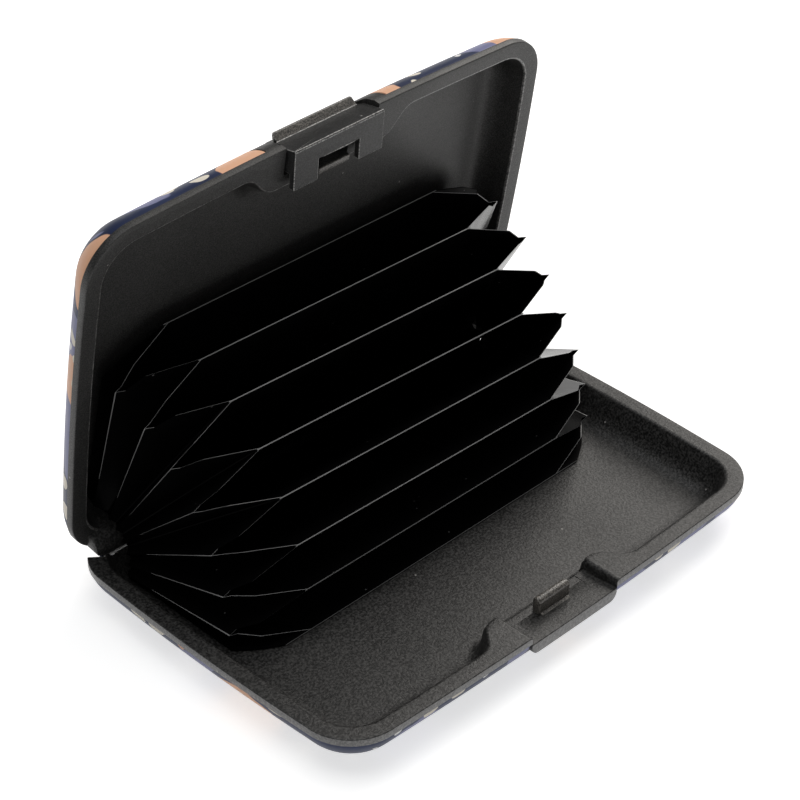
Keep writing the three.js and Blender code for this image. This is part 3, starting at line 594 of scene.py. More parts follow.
def tray_section(shell, column):
    """The tray's section, with the recess for the latch let into the front rim."""
    x = abs(column.value)
    if column.side != "long" or column.along > 0:
        outside = seat_points(shell, BAND_HEIGHT) + band_edge(BAND_HEIGHT, 0)
        return rim_section(outside, 0, shell.rim, TRAY_INNER_ROUND)
    band = apron_depth(x, RECESS_HALF, TRAY_APRON, APRON_CORNER, BAND_HEIGHT)
    share = recess_share(x)
    top = RECESS_LIP * share
    swell = shoulder_share(x)
    reach = shell.rim + (SHOULDER_REACH - shell.rim) * swell
    if x > RECESS_HALF:
        reach -= corner_drop(x - RECESS_HALF, SHOULDER_TIP)
    step = LEDGE_STEP if x < LEDGE_HALF else 0
    outside = seat_points(shell, band) + band_edge(band, top)
    fall = (RECESS_DEPTH - RECESS_LIP) * share
    return rim_section(outside, top, reach, TRAY_INNER_ROUND, swell, fall, step)


def lid_section(shell, column):
    """The lid's section, with the apron and the latch's pocket at its front."""
    front = column.side == "long" and column.along < 0
    x = abs(column.value) if front else shell.half_length
    band = apron_depth(x, LID_APRON_HALF, LID_APRON, APRON_CORNER, BAND_HEIGHT)
    reach = shell.rim + (SHOULDER_REACH - shell.rim) * shoulder_share(x)
    points = seat_points(shell, band)
    if x > LID_APRON_HALF:
        seat_inset = points[-1][0]
        steps = np.linspace(0, 1, SHELF_STEPS)
        points += [(seat_inset + (EDGE_ROUND - seat_inset) * step, band) for step in steps]
        points += band_edge(band, 0)
        return rim_section(points, 0, reach, LID_INNER_ROUND)
    if x > RECESS_HALF:
        shares = np.linspace(shell.skin_share(band), 0, APRON_STEPS)
        points += [shell.skin_point(share) for share in shares]
        points.append((SKIN_SETBACK, BAND_HEIGHT))
        points += band_edge(BAND_HEIGHT, 0)
        return rim_section(points, 0, reach, LID_INNER_ROUND)
    ceiling = apron_depth(x, RECESS_HALF, POCKET_CEILING, POCKET_CORNER, 0)
    back = SPRING_ROOM_REACH if x < SPRING_ROOM_HALF else POCKET_REACH
    low = RIDGE_ROOM_TOP if x < RIDGE_ROOM_HALF else ceiling
    levels = np.linspace(band, low, POCKET_STEPS)
    points += [shell.skin_point(shell.skin_share(level)) for level in levels]
    start = RIDGE_ROOM_REACH if x < RIDGE_ROOM_HALF else points[-1][0]
    points += [(start, float(level)) for level in np.linspace(low, ceiling, POCKET_STEPS)]
    insets = np.linspace(start, back - 2 * POCKET_LIP, CEILING_STEPS)
    points += [(float(inset), ceiling) for inset in insets]
    section = rim_section(points, 0, reach, LID_INNER_ROUND)
    rim = slice(len(points), len(points) + RIM_POINTS)
    section[rim] = [(back, ceiling), (back, ceiling / 2), (back, POCKET_LIP), (back + POCKET_LIP, 0)]
    return section


def in_trough(shell, column, spans):
    """Whether a rear column passes through room for the other shell's barrels."""
    x, y = shell.outline(column, TROUGH_INSET)
    if y < AXIS[0] - TROUGH_RADIUS or column.along < 1:
        return False
    return any(low - BARREL_GAP < abs(x) < high + BARREL_GAP for low, high in spans)


def trough_depth(y):
    """How deep the room for the barrels goes at a distance from the front."""
    if y > AXIS[0]:
        return TROUGH_DEPTH
    return math.sqrt(max(0, TROUGH_RADIUS ** 2 - (y - AXIS[0]) ** 2)) - AXIS_RISE


def frame_columns(shell, section_at, columns, spans):
    """Points of a frame as place and depth, with the barrel troughs let into its rear."""
    seat_inset = shell.skin_point(shell.skin_share(TROUGH_DEPTH, SEAT_DISTANCE), SEAT_DISTANCE)[0]
    made = []
    for column in columns:
        cut = in_trough(shell, column, spans)
        for inset, depth in section_at(shell, column):
            if cut:
                inset = max(inset, seat_inset)
            x, y = shell.outline(column, inset)
            made.append((x, y, max(depth, trough_depth(y)) if cut else depth))
    return made


def skin_columns(shell, columns, notch_half, notch_depth):
    """Points of a skin as place and depth: outside, cut edge and inside."""
    made = []
    for column in columns:
        front = column.side == "long" and column.along < 0
        x = abs(column.value) if front else shell.half_length
        top = apron_depth(x, notch_half, notch_depth, APRON_CORNER + NOTCH_GAP, SKIN_TOP)
        if shell.outline(column, SKIN_SETBACK)[1] > SKIN_REAR_Y:
            top = SKIN_REAR_DEPTH
        high = shell.skin_share(top)
        soft = min(1, high + SKIN_EDGE_SHARE)
        points = [shell.skin_point(share) for share in np.linspace(1, soft, SKIN_OUTSIDE_STEPS)]
        points.append(shell.skin_point(high, EDGE_ROUND))
        points.append(shell.skin_point(high, SKIN_THICKNESS - EDGE_ROUND))
        inside = np.linspace(soft, 1, SKIN_INSIDE_STEPS)
        points += [shell.skin_point(share, SKIN_THICKNESS) for share in inside]
        made += [(*shell.outline(column, inset), depth) for inset, depth in points]
    return made


def swing_open(points, angle):
    """Turns points of the shut lid open about the hinge."""
    turn = Matrix.Rotation(-angle, 3, "X")
    pivot = Vector((0, *AXIS))
    return [tuple(turn @ (Vector(point) - pivot) + pivot) for point in points]


def body_place(shell, points, body):
    """Moves points from depths behind a rim to the tray's place or the open lid's."""
    if body == "tray":
        return [(x, y, shell.height - depth) for x, y, depth in points]
    return swing_open([(x, y, shell.lid_rim + depth) for x, y, depth in points], shell.opening)


def shut_place(shell, point):
    """Where a point of the open lid lies on the shut lid: across, inset from the front and height."""
    pivot = Vector((0, *AXIS))
    x, y, z = Matrix.Rotation(shell.opening, 3, "X") @ (point / MM - pivot) + pivot
    return x, y + shell.half_width, z - shell.lid_rim


# Shader helpers

def feed(tree, value, target):
    """Links a socket to an input, or sets the input to a plain value."""
    if isinstance(value, bpy.types.NodeSocket):
        tree.links.new(value, target)
    else:
        target.default_value = value


def add_node(tree, kind, **values):
    """A node with its settings, and its inputs by name after an in_ prefix."""
    node = tree.nodes.new(kind)
    for key, value in values.items():
        if key.startswith("in_"):
            feed(tree, value, node.inputs[key[3:].replace("_", " ")])
        else:
            setattr(node, key, value)
    return node


def combine(tree, operation, first, second, kind="ShaderNodeMath"):
    """The result of a math node on two values, each a socket or a plain value."""
    node = add_node(tree, kind, operation=operation)
    feed(tree, first, node.inputs[0])
    feed(tree, second, node.inputs[1])
    return node.outputs[0]


def ramp(tree, source, stops, interpolation="LINEAR"):
    """A colour ramp fed by a socket; stops are places with grey levels or colours."""
    node = tree.nodes.new("ShaderNodeValToRGB")
    node.color_ramp.interpolation = interpolation
    elements = node.color_ramp.elements
    while len(elements) < len(stops):
        elements.new(0.5)
    for element, (place, colour) in zip(elements, stops):
        element.position = place
        element.color = (*colour, 1) if hasattr(colour, "__len__") else (colour, colour, colour, 1)
    tree.links.new(source, node.inputs["Fac"])
    return node.outputs["Color"]


def drifting(tree, source, low, high, margin=0.3):
    """A level or colour that drifts from low to high as a noise does."""
    return ramp(tree, source, [(margin, low), (1 - margin, high)])


def mix_colours(tree, share, low, high):
    """A mix of two colours, each a socket or a colour, by a share that changes over the surface."""
    node = add_node(tree, "ShaderNodeMix", data_type="RGBA", in_Factor=share)
    for name, value in (("A", low), ("B", high)):
        target = next(s for s in node.inputs if s.name == name and s.type == "RGBA")
        feed(tree, value if isinstance(value, bpy.types.NodeSocket) else (*value, 1), target)
    return next(s for s in node.outputs if s.type == "RGBA")


def scaled(colour, share):
    """A colour made darker or lighter by a share."""
    return tuple(channel * share for channel in colour)


def object_place(tree):
    """Places on the object, for textures."""
    return tree.nodes.new("ShaderNodeTexCoord").outputs["Object"]


def new_material(name):
    """A material with its node tree and its Principled shader."""
    material = bpy.data.materials.new(name)
    material.use_nodes = True
    tree = material.node_tree
    return material, tree, tree.nodes["Principled BSDF"]


def set_shader(tree, shader, **values):
    """Sets or links a shader's inputs by name."""
    for key, value in values.items():
        feed(tree, value, shader.inputs[key.replace("_", " ")])


def new_group(name, inputs, outputs):
    """A shader node group with float inputs and float outputs."""
    tree = bpy.data.node_groups.new(name, "ShaderNodeTree")
    for label, default in inputs:
        socket = tree.interface.new_socket(label, in_out="INPUT", socket_type="NodeSocketFloat")
        socket.default_value = default
    for label in outputs:
        tree.interface.new_socket(label, in_out="OUTPUT", socket_type="NodeSocketFloat")
    return tree, tree.nodes.new("NodeGroupInput").outputs


def moulded_grain():
    """Fine spark-eroded grain: a height for bumps, a tone that drifts and small pale specks of dust."""
    if "moulded_grain" in bpy.data.node_groups:
        return bpy.data.node_groups["moulded_grain"]
    inputs = [("Grain", 5200.0), ("Drift", 60.0), ("Dust", 0.9)]
    tree, given = new_group("moulded_grain", inputs, ("Height", "Tone", "Specks"))
    place = object_place(tree)
    grain = add_node(
        tree, "ShaderNodeTexNoise", in_Vector=place, in_Scale=given["Grain"], in_Detail=2.0,
        in_Roughness=0.6)
    drift = add_node(
        tree, "ShaderNodeTexNoise", in_Vector=place, in_Scale=given["Drift"], in_Detail=3.0,
        in_Roughness=0.55)
    dust = add_node(tree, "ShaderNodeTexVoronoi", in_Vector=place, in_Scale=620.0, in_Randomness=1.0)
    split = add_node(tree, "ShaderNodeSeparateColor", in_Color=dust.outputs["Color"])
    small = combine(tree, "LESS_THAN", dust.outputs["Distance"], DUST_SIZE)
    rare = combine(tree, "GREATER_THAN", split.outputs["Red"], given["Dust"])
    add_node(
        tree, "NodeGroupOutput", in_Height=grain.outputs["Fac"], in_Tone=drift.outputs["Fac"],
        in_Specks=combine(tree, "MULTIPLY", small, rare))
    return tree


def grain_outputs(tree, grain, drift, dust):
    """Height, tone and specks of the grain with a material's own values."""
    node = add_node(
        tree, "ShaderNodeGroup", node_tree=moulded_grain(), in_Grain=grain, in_Drift=drift, in_Dust=dust)
    return node.outputs


def bump(tree, height, strength, distance):
    """A normal from a height, with its distance in millimetres."""
    node = add_node(
        tree, "ShaderNodeBump", in_Strength=strength, in_Distance=distance * MM, in_Height=height)
    return node.outputs["Normal"]


# Finishes

def moulded_plastic(name, colour, specular, roughness, grain_scale, strength, dust=0.985):
    """Satin moulded plastic with a fine sparkling grain, a drifting sheen and specks of dust."""
    if name in bpy.data.materials:
        return bpy.data.materials[name]
    material, tree, shader = new_material(name)
    grain = grain_outputs(tree, grain_scale, drift=60.0, dust=dust)
    levels = (scaled(colour, GRAIN_DARK), scaled(colour, GRAIN_LIGHT))
    tone = ramp(tree, grain["Height"], list(zip(GRAIN_BAND, levels)))
    set_shader(
        tree, shader, Specular_IOR_Level=specular,
        Base_Color=mix_colours(tree, grain["Specks"], tone, PLASTIC_DUST),
        Roughness=drifting(tree, grain["Tone"], *roughness),
        Normal=bump(tree, grain["Height"], strength, distance=0.1))
    return material


def frame_plastic(finishes):
    """The plastic of the tray and the hinge."""
    return moulded_plastic(
        "moulded_frame", tuple(finishes.frame), specular=0.4, roughness=(0.40, 0.48), grain_scale=2200.0,
        strength=0.7)


def lid_plastic(finishes):
    """The same plastic with the finer grain of the lid."""
    return moulded_plastic(
        "moulded_lid", tuple(finishes.frame), specular=0.4, roughness=(0.40, 0.48), grain_scale=4600.0,
        strength=0.3)


def band_plastic_gloss_and_painted_light(finishes):
    """The same plastic, left smooth by the mould's parting face, and painted lighter as painted light."""
    return moulded_plastic(
        "moulded_band_gloss_and_painted_light", scaled(finishes.frame, 2.1), specular=1.0, roughness=(0.32, 0.40),
        grain_scale=2200.0, strength=0.15)


def rim_highlight_plastic(finishes):
    """The same plastic, painted lighter as a painted highlight along the lid's inner rim edge."""
    return moulded_plastic(
        "moulded_rim_painted_highlight", scaled(finishes.frame, 5), specular=0.9, roughness=(0.30, 0.38),
        grain_scale=2200.0, strength=0.2)


def latch_highlight_plastic(finishes):
    """The same plastic, much lighter, as a painted highlight on the latch's bevelled edges."""
    return moulded_plastic(
        "moulded_latch_painted_highlight", scaled(finishes.frame, 8), specular=0.7, roughness=(0.30, 0.38),
        grain_scale=3600.0, strength=0.2)


def bronze_plastic(finishes):
    """The same plastic in a lighter, speckled bronze tone."""
    bronze = (3.2, 3.0, 2.75)
    colour = tuple(channel * share for channel, share in zip(finishes.frame, bronze))
    return moulded_plastic(
        "moulded_bronze", colour, specular=0.8, roughness=(0.30, 0.40), grain_scale=3600.0, strength=0.7,
        dust=0.95)


def rocker_plastic():
    """The latch's darker plastic."""
    return moulded_plastic(
        "moulded_latch", (0.016, 0.016, 0.016), specular=0.4, roughness=(0.36, 0.44), grain_scale=3200.0,
        strength=0.2)


def pocket_film(name, colour, roughness, specular):
    """Thin plastic film: near black, glossy, with soft ripples and a little dust."""
    if name in bpy.data.materials:
        return bpy.data.materials[name]
    material, tree, shader = new_material(name)
    grain = grain_outputs(tree, grain=160.0, drift=45.0, dust=0.965)
    tone = mix_colours(tree, grain["Tone"], colour, scaled(colour, FILM_LIGHT))
    set_shader(
        tree, shader, Specular_IOR_Level=specular,
        Base_Color=mix_colours(tree, grain["Specks"], tone, FILM_DUST),
        Roughness=drifting(tree, grain["Tone"], *roughness, margin=0.35),
        Normal=bump(tree, grain["Height"], strength=0.12, distance=0.4))
    return material


def print_chips(tree, place, under, chip, colour):
    """A layer of the print: round chips of one colour in some of a texture's cells."""
    moved = combine(tree, "ADD", place, chip.offset, "ShaderNodeVectorMath")
    cells = add_node(tree, "ShaderNodeTexVoronoi", in_Vector=moved, in_Scale=chip.scale)
    split = add_node(tree, "ShaderNodeSeparateColor", in_Color=cells.outputs["Color"])
    rim = [(chip.radius - CHIP_SOFTNESS, 1.0), (chip.radius, 0.0)]
    near = ramp(tree, cells.outputs["Distance"], rim)
    picked = ramp(tree, split.outputs["Green"], [(0.0, 1.0), (chip.chosen, 0.0)], "CONSTANT")
    return mix_colours(tree, combine(tree, "MULTIPLY", near, picked), under, colour)


def printed_skin(finishes):
    """Pressed aluminium with a glossy print of rounded chips and dots on a dark ground."""
    if "skin_print" in bpy.data.materials:
        return bpy.data.materials["skin_print"]
    material, tree, shader = new_material("skin_print")
    place = object_place(tree)
    wobble = add_node(tree, "ShaderNodeTexNoise", in_Vector=place, in_Scale=130.0, in_Detail=1.0)
    shift = add_node(
        tree, "ShaderNodeVectorMath", operation="SCALE", in_Vector=wobble.outputs["Color"],
        in_Scale=PRINT_WOBBLE)
    bent = combine(tree, "ADD", place, shift.outputs["Vector"], "ShaderNodeVectorMath")
    darker = scaled(finishes.ground, GROUND_DARK)
    design = mix_colours(tree, wobble.outputs["Fac"], darker, scaled(finishes.ground, GROUND_LIGHT))
    for chip in CHIPS:
        design = print_chips(tree, bent, design, chip, getattr(finishes, chip.colour))
    grain = grain_outputs(tree, grain=900.0, drift=40.0, dust=0.97)
    set_shader(
        tree, shader, Coat_Roughness=0.2, Specular_IOR_Level=0.2, Base_Color=design,
        Roughness=drifting(tree, grain["Tone"], 0.42, 0.52),
        Coat_Weight=drifting(tree, grain["Tone"], 0.04, 0.10),
        Normal=bump(tree, grain["Height"], strength=0.05, distance=0.05))
    return material


def pin_steel():
    """Drawn steel wire with fine lengthwise lines."""
    if "pin_steel" in bpy.data.materials:
        return bpy.data.materials["pin_steel"]
    material, tree, shader = new_material("pin_steel")
    stretch = add_node(
        tree, "ShaderNodeMapping", in_Vector=object_place(tree), in_Scale=(120.0, 5000.0, 5000.0))
    lines = add_node(
        tree, "ShaderNodeTexNoise", in_Vector=stretch.outputs["Vector"], in_Scale=1.0, in_Detail=3.0)
    drawn = lines.outputs["Fac"]
    set_shader(
        tree, shader, Metallic=1.0,
        Base_Color=drifting(tree, drawn, (0.42, 0.43, 0.44), (0.66, 0.67, 0.68)),
        Roughness=drifting(tree, drawn, 0.22, 0.42))
    return material


def finish_steel(*names):
    """Gives the steel finish to solids that are shown as they are."""
    for name in names:
        materials = frame["nodes"][name].data.materials
        materials.clear()
        materials.append(pin_steel())


def floor_paper():
    """Pale paper that glows where it is seen, so that the ground is white and keeps its shadow."""
    material = bpy.data.materials.new("floor_paper")
    material.use_nodes = True
    tree = material.node_tree
    tree.nodes.clear()
    paper = add_node(tree, "ShaderNodeBsdfDiffuse", in_Color=FLOOR_COLOUR).outputs[0]
    glow = add_node(tree, "ShaderNodeEmission", in_Strength=FLOOR_GLOW).outputs[0]
    rays = tree.nodes.new("ShaderNodeLightPath").outputs
    seen = combine(tree, "MAXIMUM", rays["Is Camera Ray"], rays["Is Glossy Ray"])
    seen = combine(tree, "MAXIMUM", seen, rays["Is Transmission Ray"])
    total = tree.nodes.new("ShaderNodeAddShader")
    tree.links.new(paper, total.inputs[0])
    tree.links.new(glow, total.inputs[1])
    pick = add_node(tree, "ShaderNodeMixShader", in_Fac=seen)
    tree.links.new(paper, pick.inputs[1])
    tree.links.new(total.outputs[0], pick.inputs[2])
    add_node(tree, "ShaderNodeOutputMaterial", in_Surface=pick.outputs[0])
    return material


# Operators

class WALLET_OT_stage(Operator):
    """Makes the floor, the soft lights and the camera."""

    bl_idname = "wallet.stage"
    bl_label = "Stage"

    def execute(self, context):
        self.make_floor()
        self.make_world(context.scene)
        for lamp in LAMPS:
            self.make_lamp(lamp)
        self.make_camera(context.scene)
        context.scene.view_settings.view_transform = "Standard"
        return {"FINISHED"}

    def make_floor(self):
        """A square of paper on which the case lies."""
        mesh = bpy.data.meshes.new("floor")
        corners = ((-1, -1), (1, -1), (1, 1), (-1, 1))
        mesh.from_pydata([(x * FLOOR_HALF, y * FLOOR_HALF, 0) for x, y in corners], [], [(0, 1, 2, 3)])
        mesh.materials.append(floor_paper())
        floor = link_object("floor", mesh)

    def make_world(self, scene):
        """A faint even sky."""
        world = bpy.data.worlds.new("studio")
        world.use_nodes = True
        background = world.node_tree.nodes["Background"]
        background.inputs["Color"].default_value = (1, 1, 1, 1)
        background.inputs["Strength"].default_value = SKY_STRENGTH
        scene.world = world

    def make_lamp(self, lamp):
        """A square soft lamp that points at the case."""
        light = bpy.data.lights.new(lamp.name, "AREA")
        light.color = lamp.colour
        light.shape = "SQUARE"
        light.size = lamp.size
        light.energy = lamp.power
        holder = link_object(lamp.name, light)
        holder.location = lamp.place
        holder.rotation_euler = (-Vector(lamp.place)).to_track_quat("-Z", "Y").to_euler()

    def make_camera(self, scene):
        """The camera, turned by its azimuth, elevation and roll."""
        azimuth, elevation = CAMERA_AZIMUTH, CAMERA_ELEVATION
        back = Vector((
            math.sin(azimuth) * math.cos(elevation),
            -math.cos(azimuth) * math.cos(elevation),
            math.sin(elevation),
        ))
        level = Vector((math.cos(azimuth), math.sin(azimuth), 0))
        above = back.cross(level)
        right = level * math.cos(CAMERA_ROLL) + above * math.sin(CAMERA_ROLL)
        up = above * math.cos(CAMERA_ROLL) - level * math.sin(CAMERA_ROLL)
        data = bpy.data.cameras.new("camera")
        data.lens = CAMERA_LENS
        data.clip_start = CAMERA_NEAR
        camera = link_object("camera", data)
        turn = Matrix((right, up, back)).transposed().to_4x4()
        camera.matrix_world = Matrix.Translation(CAMERA_PLACE) @ turn
        scene.camera = camera


class WALLET_OT_tray(Operator):
    """Moulds the tray's frame."""

    bl_idname = "wallet.tray"
    bl_label = "Tray frame"

    def execute(self, context):
        shell = Shell(context.scene.wallet_case)
        finishes = context.scene.wallet_finishes
        front = [0.0, LEDGE_MIDDLE, *step_marks(LEDGE_HALF), *SHOULDER_MARKS, *recess_marks()]
        front += corner_marks(RECESS_HALF, APRON_CORNER)
        rear = [*step_marks(MIDDLE_BARREL[1] + BARREL_GAP), *step_marks(END_BARREL[0] - BARREL_GAP)]
        end = shell.corner_angle(END_BARREL[1] + BARREL_GAP)
        columns = shell.columns(front, rear, step_marks(end, STEP_ANGLE))
        points = frame_columns(shell, tray_section, columns, (END_BARREL, MIDDLE_BARREL))
        points = body_place(shell, points, "tray")
        # The outer band all round the tray is glossier, and painted lighter as painted light
        accents = ((band_plastic_gloss_and_painted_light(finishes), shell_rows(points, columns, BAND_ROWS)),)
        faces = shell_faces(points, columns)
        piece = make_piece("tray_shell", points, faces, frame_plastic(finishes), "tray", accents=accents)
        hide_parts("tray_frame")
        return {"FINISHED"}


class WALLET_OT_lid(Operator):
    """Moulds the lid's frame."""

    bl_idname = "wallet.lid"
    bl_label = "Lid frame"

    def execute(self, context):
        shell = Shell(context.scene.wallet_case)
        finishes = context.scene.wallet_finishes
        front = [0.0, *step_marks(SPRING_ROOM_HALF), *step_marks(RIDGE_ROOM_HALF)]
        front += [*step_marks(RECESS_HALF), *step_marks(LID_APRON_HALF), *SHOULDER_MARKS]
        front += corner_marks(LID_APRON_HALF, APRON_CORNER)
        front += corner_marks(RECESS_HALF, POCKET_CORNER, POCKET_TURN)
        rear = [*step_marks(TRAY_BARREL[0] - BARREL_GAP), *step_marks(TRAY_BARREL[1] + BARREL_GAP)]
        columns = shell.columns(front, rear, [])
        points = frame_columns(shell, lid_section, columns, (TRAY_BARREL,))
        points = body_place(shell, points, "lid")
        # A painted highlight along the lid's inner rim edge
        accents = ((rim_highlight_plastic(finishes), shell_rows(points, columns, LID_PAINTED_HIGHLIGHT_ROWS)),)
        faces = shell_faces(points, columns)
        piece = make_piece("lid_shell", points, faces, lid_plastic(finishes), "lid", accents=accents)
        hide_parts("lid_frame")
        return {"FINISHED"}


class WALLET_OT_skins(Operator):
    """Presses the two printed skins."""

    bl_idname = "wallet.skins"
    bl_label = "Printed skins"

    def execute(self, context):
        shell = Shell(context.scene.wallet_case)
        material = printed_skin(context.scene.wallet_finishes)
        step = math.asin((SKIN_REAR_Y - shell.centre_y) / shell.corner)
        for name, body, half, depth in (
            ("tray_skin", "tray", RECESS_HALF, TRAY_APRON),
            ("lid_skin", "lid", LID_APRON_HALF, LID_APRON),
        ):
            half += NOTCH_GAP
            front = [0.0, *step_marks(half), *corner_marks(half, APRON_CORNER + NOTCH_GAP)]
            columns = shell.columns(front, [0.0], step_marks(step, STEP_ANGLE))
            points = skin_columns(shell, columns, half, depth + NOTCH_GAP)
            points = body_place(shell, points, body)
            piece = make_piece(f"{name}_print", points, shell_faces(points, columns), material, body)
            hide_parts(name)
        return {"FINISHED"}


class WALLET_OT_hinge(Operator):
    """Makes the hinge's barrels and finishes its pins."""

    bl_idname = "wallet.hinge"
    bl_label = "Hinge"

    def execute(self, context):
        shell = Shell(context.scene.wallet_case)
        material = frame_plastic(context.scene.wallet_finishes)
        spans = {
            "tray": [(-TRAY_BARREL[1], -TRAY_BARREL[0]), TRAY_BARREL],
            "lid": [(-END_BARREL[1], -END_BARREL[0]), (-MIDDLE_BARREL[1], MIDDLE_BARREL[1]), END_BARREL],
        }
        for body, own in spans.items():
            for number, span in enumerate(own, 1):
                points, rows = self.barrel(shell, span, -1 if body == "tray" else 1)
                if body == "lid":
                    points = swing_open(points, shell.opening)
                faces = capped_faces(len(points) // rows, rows)
                piece = make_piece(f"{body}_barrel_{number}", points, faces, material, body)
        finish_steel("hinge_pin_left", "hinge_pin_right")
        return {"FINISHED"}

    def barrel(self, shell, span, outward):
        """Points of a barrel and its block, round and along the hinge, and how many lie along it."""
        low, high = span
        middle = np.linspace(low + BARREL_SOFT, high - BARREL_SOFT, BARREL_STEPS)
        places = [low, low + BARREL_LIP, *middle, high - BARREL_LIP, high]
        draws = [BARREL_SOFT, BARREL_LIP, *[0] * BARREL_STEPS, BARREL_LIP, BARREL_SOFT]
        made = []
        for across, up, down in self.section():
            for x, draw in zip(places, draws):
                radius = BARREL_RADIUS - draw
                y = AXIS[0] + radius * across
                z = AXIS[1] + outward * ((REAR_STEP - draw) * down - radius * up)
                made.append((x, min(y, self.rear_edge(shell, x) - BARREL_SETBACK - draw), z))
        return made, len(places)

    def section(self):
        """Shares of the radius across and up round the barrel, and of the block's depth down its sides."""
        angles = np.linspace(0, math.pi, BARREL_ARC_STEPS)
        arc = [(math.cos(angle), math.sin(angle), 0) for angle in angles]
        return arc + [(-1, 0, 0.5), (-1, 0, 1), (0, 0, 1), (1, 0, 1), (1, 0, 0.5)]

    def rear_edge(self, shell, x):
        """The case outline's rear edge at a distance from the middle."""
        across = abs(x)
        if across <= shell.centre_x:
            return shell.outline(Column("long", across, 0, 1), 0)[1]
        return shell.centre_y + math.sqrt(shell.corner ** 2 - (across - shell.centre_x) ** 2)


class WALLET_OT_latch(Operator):
    """Makes the latch and the catch and finishes the latch's pin and spring."""

    bl_idname = "wallet.latch"
    bl_label = "Latch"

    def execute(self, context):
        self.shell = Shell(context.scene.wallet_case)
        self.finishes = context.scene.wallet_finishes
        self.make_rocker()
        self.make_catch()
        self.make_rib()
        finish_steel("latch_pin", "latch_spring")
        return {"FINISHED"}

    def make_rocker(self):
        """A copy of the latch's solid with clean flat faces, soft edges that carry a painted highlight, and
        a thinner hook.
        """
        shape = bmesh.new()
        shape.from_mesh(frame["nodes"]["latch"].data)
        forward = Matrix.Rotation(-self.shell.opening, 3, "X") @ Vector((0, -HOOK_SHIFT * MM, 0))
        near, far = HOOK_INSETS
        for vertex in shape.verts:
            x, inset, height = shut_place(self.shell, vertex.co)
            if abs(x) < HOOK_HALF and near < inset < far and height < HOOK_LEVEL:
                vertex.co += forward
        bmesh.ops.remove_doubles(shape, verts=shape.verts, dist=LATCH_WELD * MM)
        bmesh.ops.dissolve_limit(
            shape, angle_limit=LATCH_FLAT_ANGLE, verts=shape.verts, edges=shape.edges)
        mesh = bpy.data.meshes.new("latch_rocker")
        shape.to_mesh(mesh)
        shape.free()
        plain, bronze_face, edge_highlight = range(3)
        for finish in (rocker_plastic(), bronze_plastic(self.finishes), latch_highlight_plastic(self.finishes)):
            mesh.materials.append(finish)
        for face in mesh.polygons:
            _, inset, height = shut_place(self.shell, face.center)
            on_ridge = inset < RIDGE_INSET and height > RIDGE_LEVEL
            face.material_index = bronze_face if on_ridge else plain
        mesh.shade_smooth()
        mesh.set_sharp_from_angle(angle=SHARP_ANGLE)
        piece = link_object("latch_rocker", mesh)
        edge = piece.modifiers.new("soft_edges", "BEVEL")
        # The bevels' faces carry a painted highlight
        edge.material = edge_highlight
        edge.width = LATCH_BEVEL * MM
        edge.segments = LATCH_BEVEL_STEPS
        edge.limit_method = "ANGLE"
        edge.angle_limit = LATCH_BEVEL_ANGLE
        edge.harden_normals = True
        edge.use_clamp_overlap = False
        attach(piece, "latch")
        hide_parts("latch")

    def make_catch(self):
        """The catch on the tray's ledge: a bar with a round head, and a wedge at its foot."""
        material = bronze_plastic(self.finishes)
        middle = (CATCH_FRONT + CATCH_BACK) / 2
        neck = CATCH_DROP + CATCH_NECK
        section = [
            (middle - CATCH_HEAD * math.cos(angle), CATCH_DROP - CATCH_HEAD * math.sin(angle))
            for angle in np.linspace(*CATCH_ARC, CATCH_ARC_STEPS)]
        section += [(CATCH_BACK, neck), (CATCH_BACK, CATCH_ROOT)]
        section += [(CATCH_FRONT, CATCH_ROOT), (CATCH_FRONT, neck)]
        ends = []
        for angle in np.linspace(0, CATCH_END_TURN, CATCH_END_STEPS):
            share = CATCH_END_SHARE + (1 - CATCH_END_SHARE) * math.sin(angle)
            ends.append((CATCH_HALF - CATCH_END * (1 - math.cos(angle)), share))
        ends = [(-x, share) for x, share in ends] + ends[::-1]
        self.bar("catch_bar", section, ends, (middle, CATCH_DROP), material, "tray")
        foot = [(FOOT_FRONT, CATCH_ROOT), (FOOT_FRONT, RECESS_DEPTH - FOOT_EDGE)]
        foot += [(FOOT_CREST, RECESS_DEPTH - FOOT_RISE), (CATCH_FRONT + FOOT_EDGE, CATCH_ROOT)]
        self.bar("catch_foot", foot, FOOT_ENDS, (FOOT_MIDDLE, CATCH_ROOT), material, "tray")

    def make_rib(self):
        """The rib on the lid between the latch's legs, behind the catch when the case is shut; its near side
        is painted dark as painted shade.
        """
        near, far = RIB_SPAN
        top, shoulder = -RIB_HEIGHT, RIB_ROUND - RIB_HEIGHT
        section = [(near, RIB_ROOT)]
        section += quarter_round((near, shoulder), (near, top), (near + RIB_ROUND, top))
        section += quarter_round((far - RIB_ROUND, top), (far, top), (far, shoulder))
        section.append((far, RIB_ROOT))
        ends = [(along - RIB_HALF, share) for along, share in RIB_ENDS]
        ends += [(-x, share) for x, share in ends[::-1]]
        # Painted shade: the rib's near side takes the darker lid plastic
        painted_shade = ((lid_plastic(self.finishes), range(len(ends) - 1)),)
        centre = ((near + far) / 2, RIB_ROOT)
        self.bar("lid_rib", section, ends, centre, bronze_plastic(self.finishes), "lid", painted_shade)

    def bar(self, name, section, ends, centre, material, body, accents=()):
        """A bar across the front: a section of insets and depths, drawn in towards a centre at its ends."""
        middle, level = centre
        points = []
        for inset, depth in section:
            for x, share in ends:
                y = middle + (inset - middle) * share - self.shell.half_width
                points.append((x, y, level + (depth - level) * share))
        points = body_place(self.shell, points, body)
        faces = capped_faces(len(section), len(ends))
        piece = make_piece(name, points, faces, material, body, accents=accents)


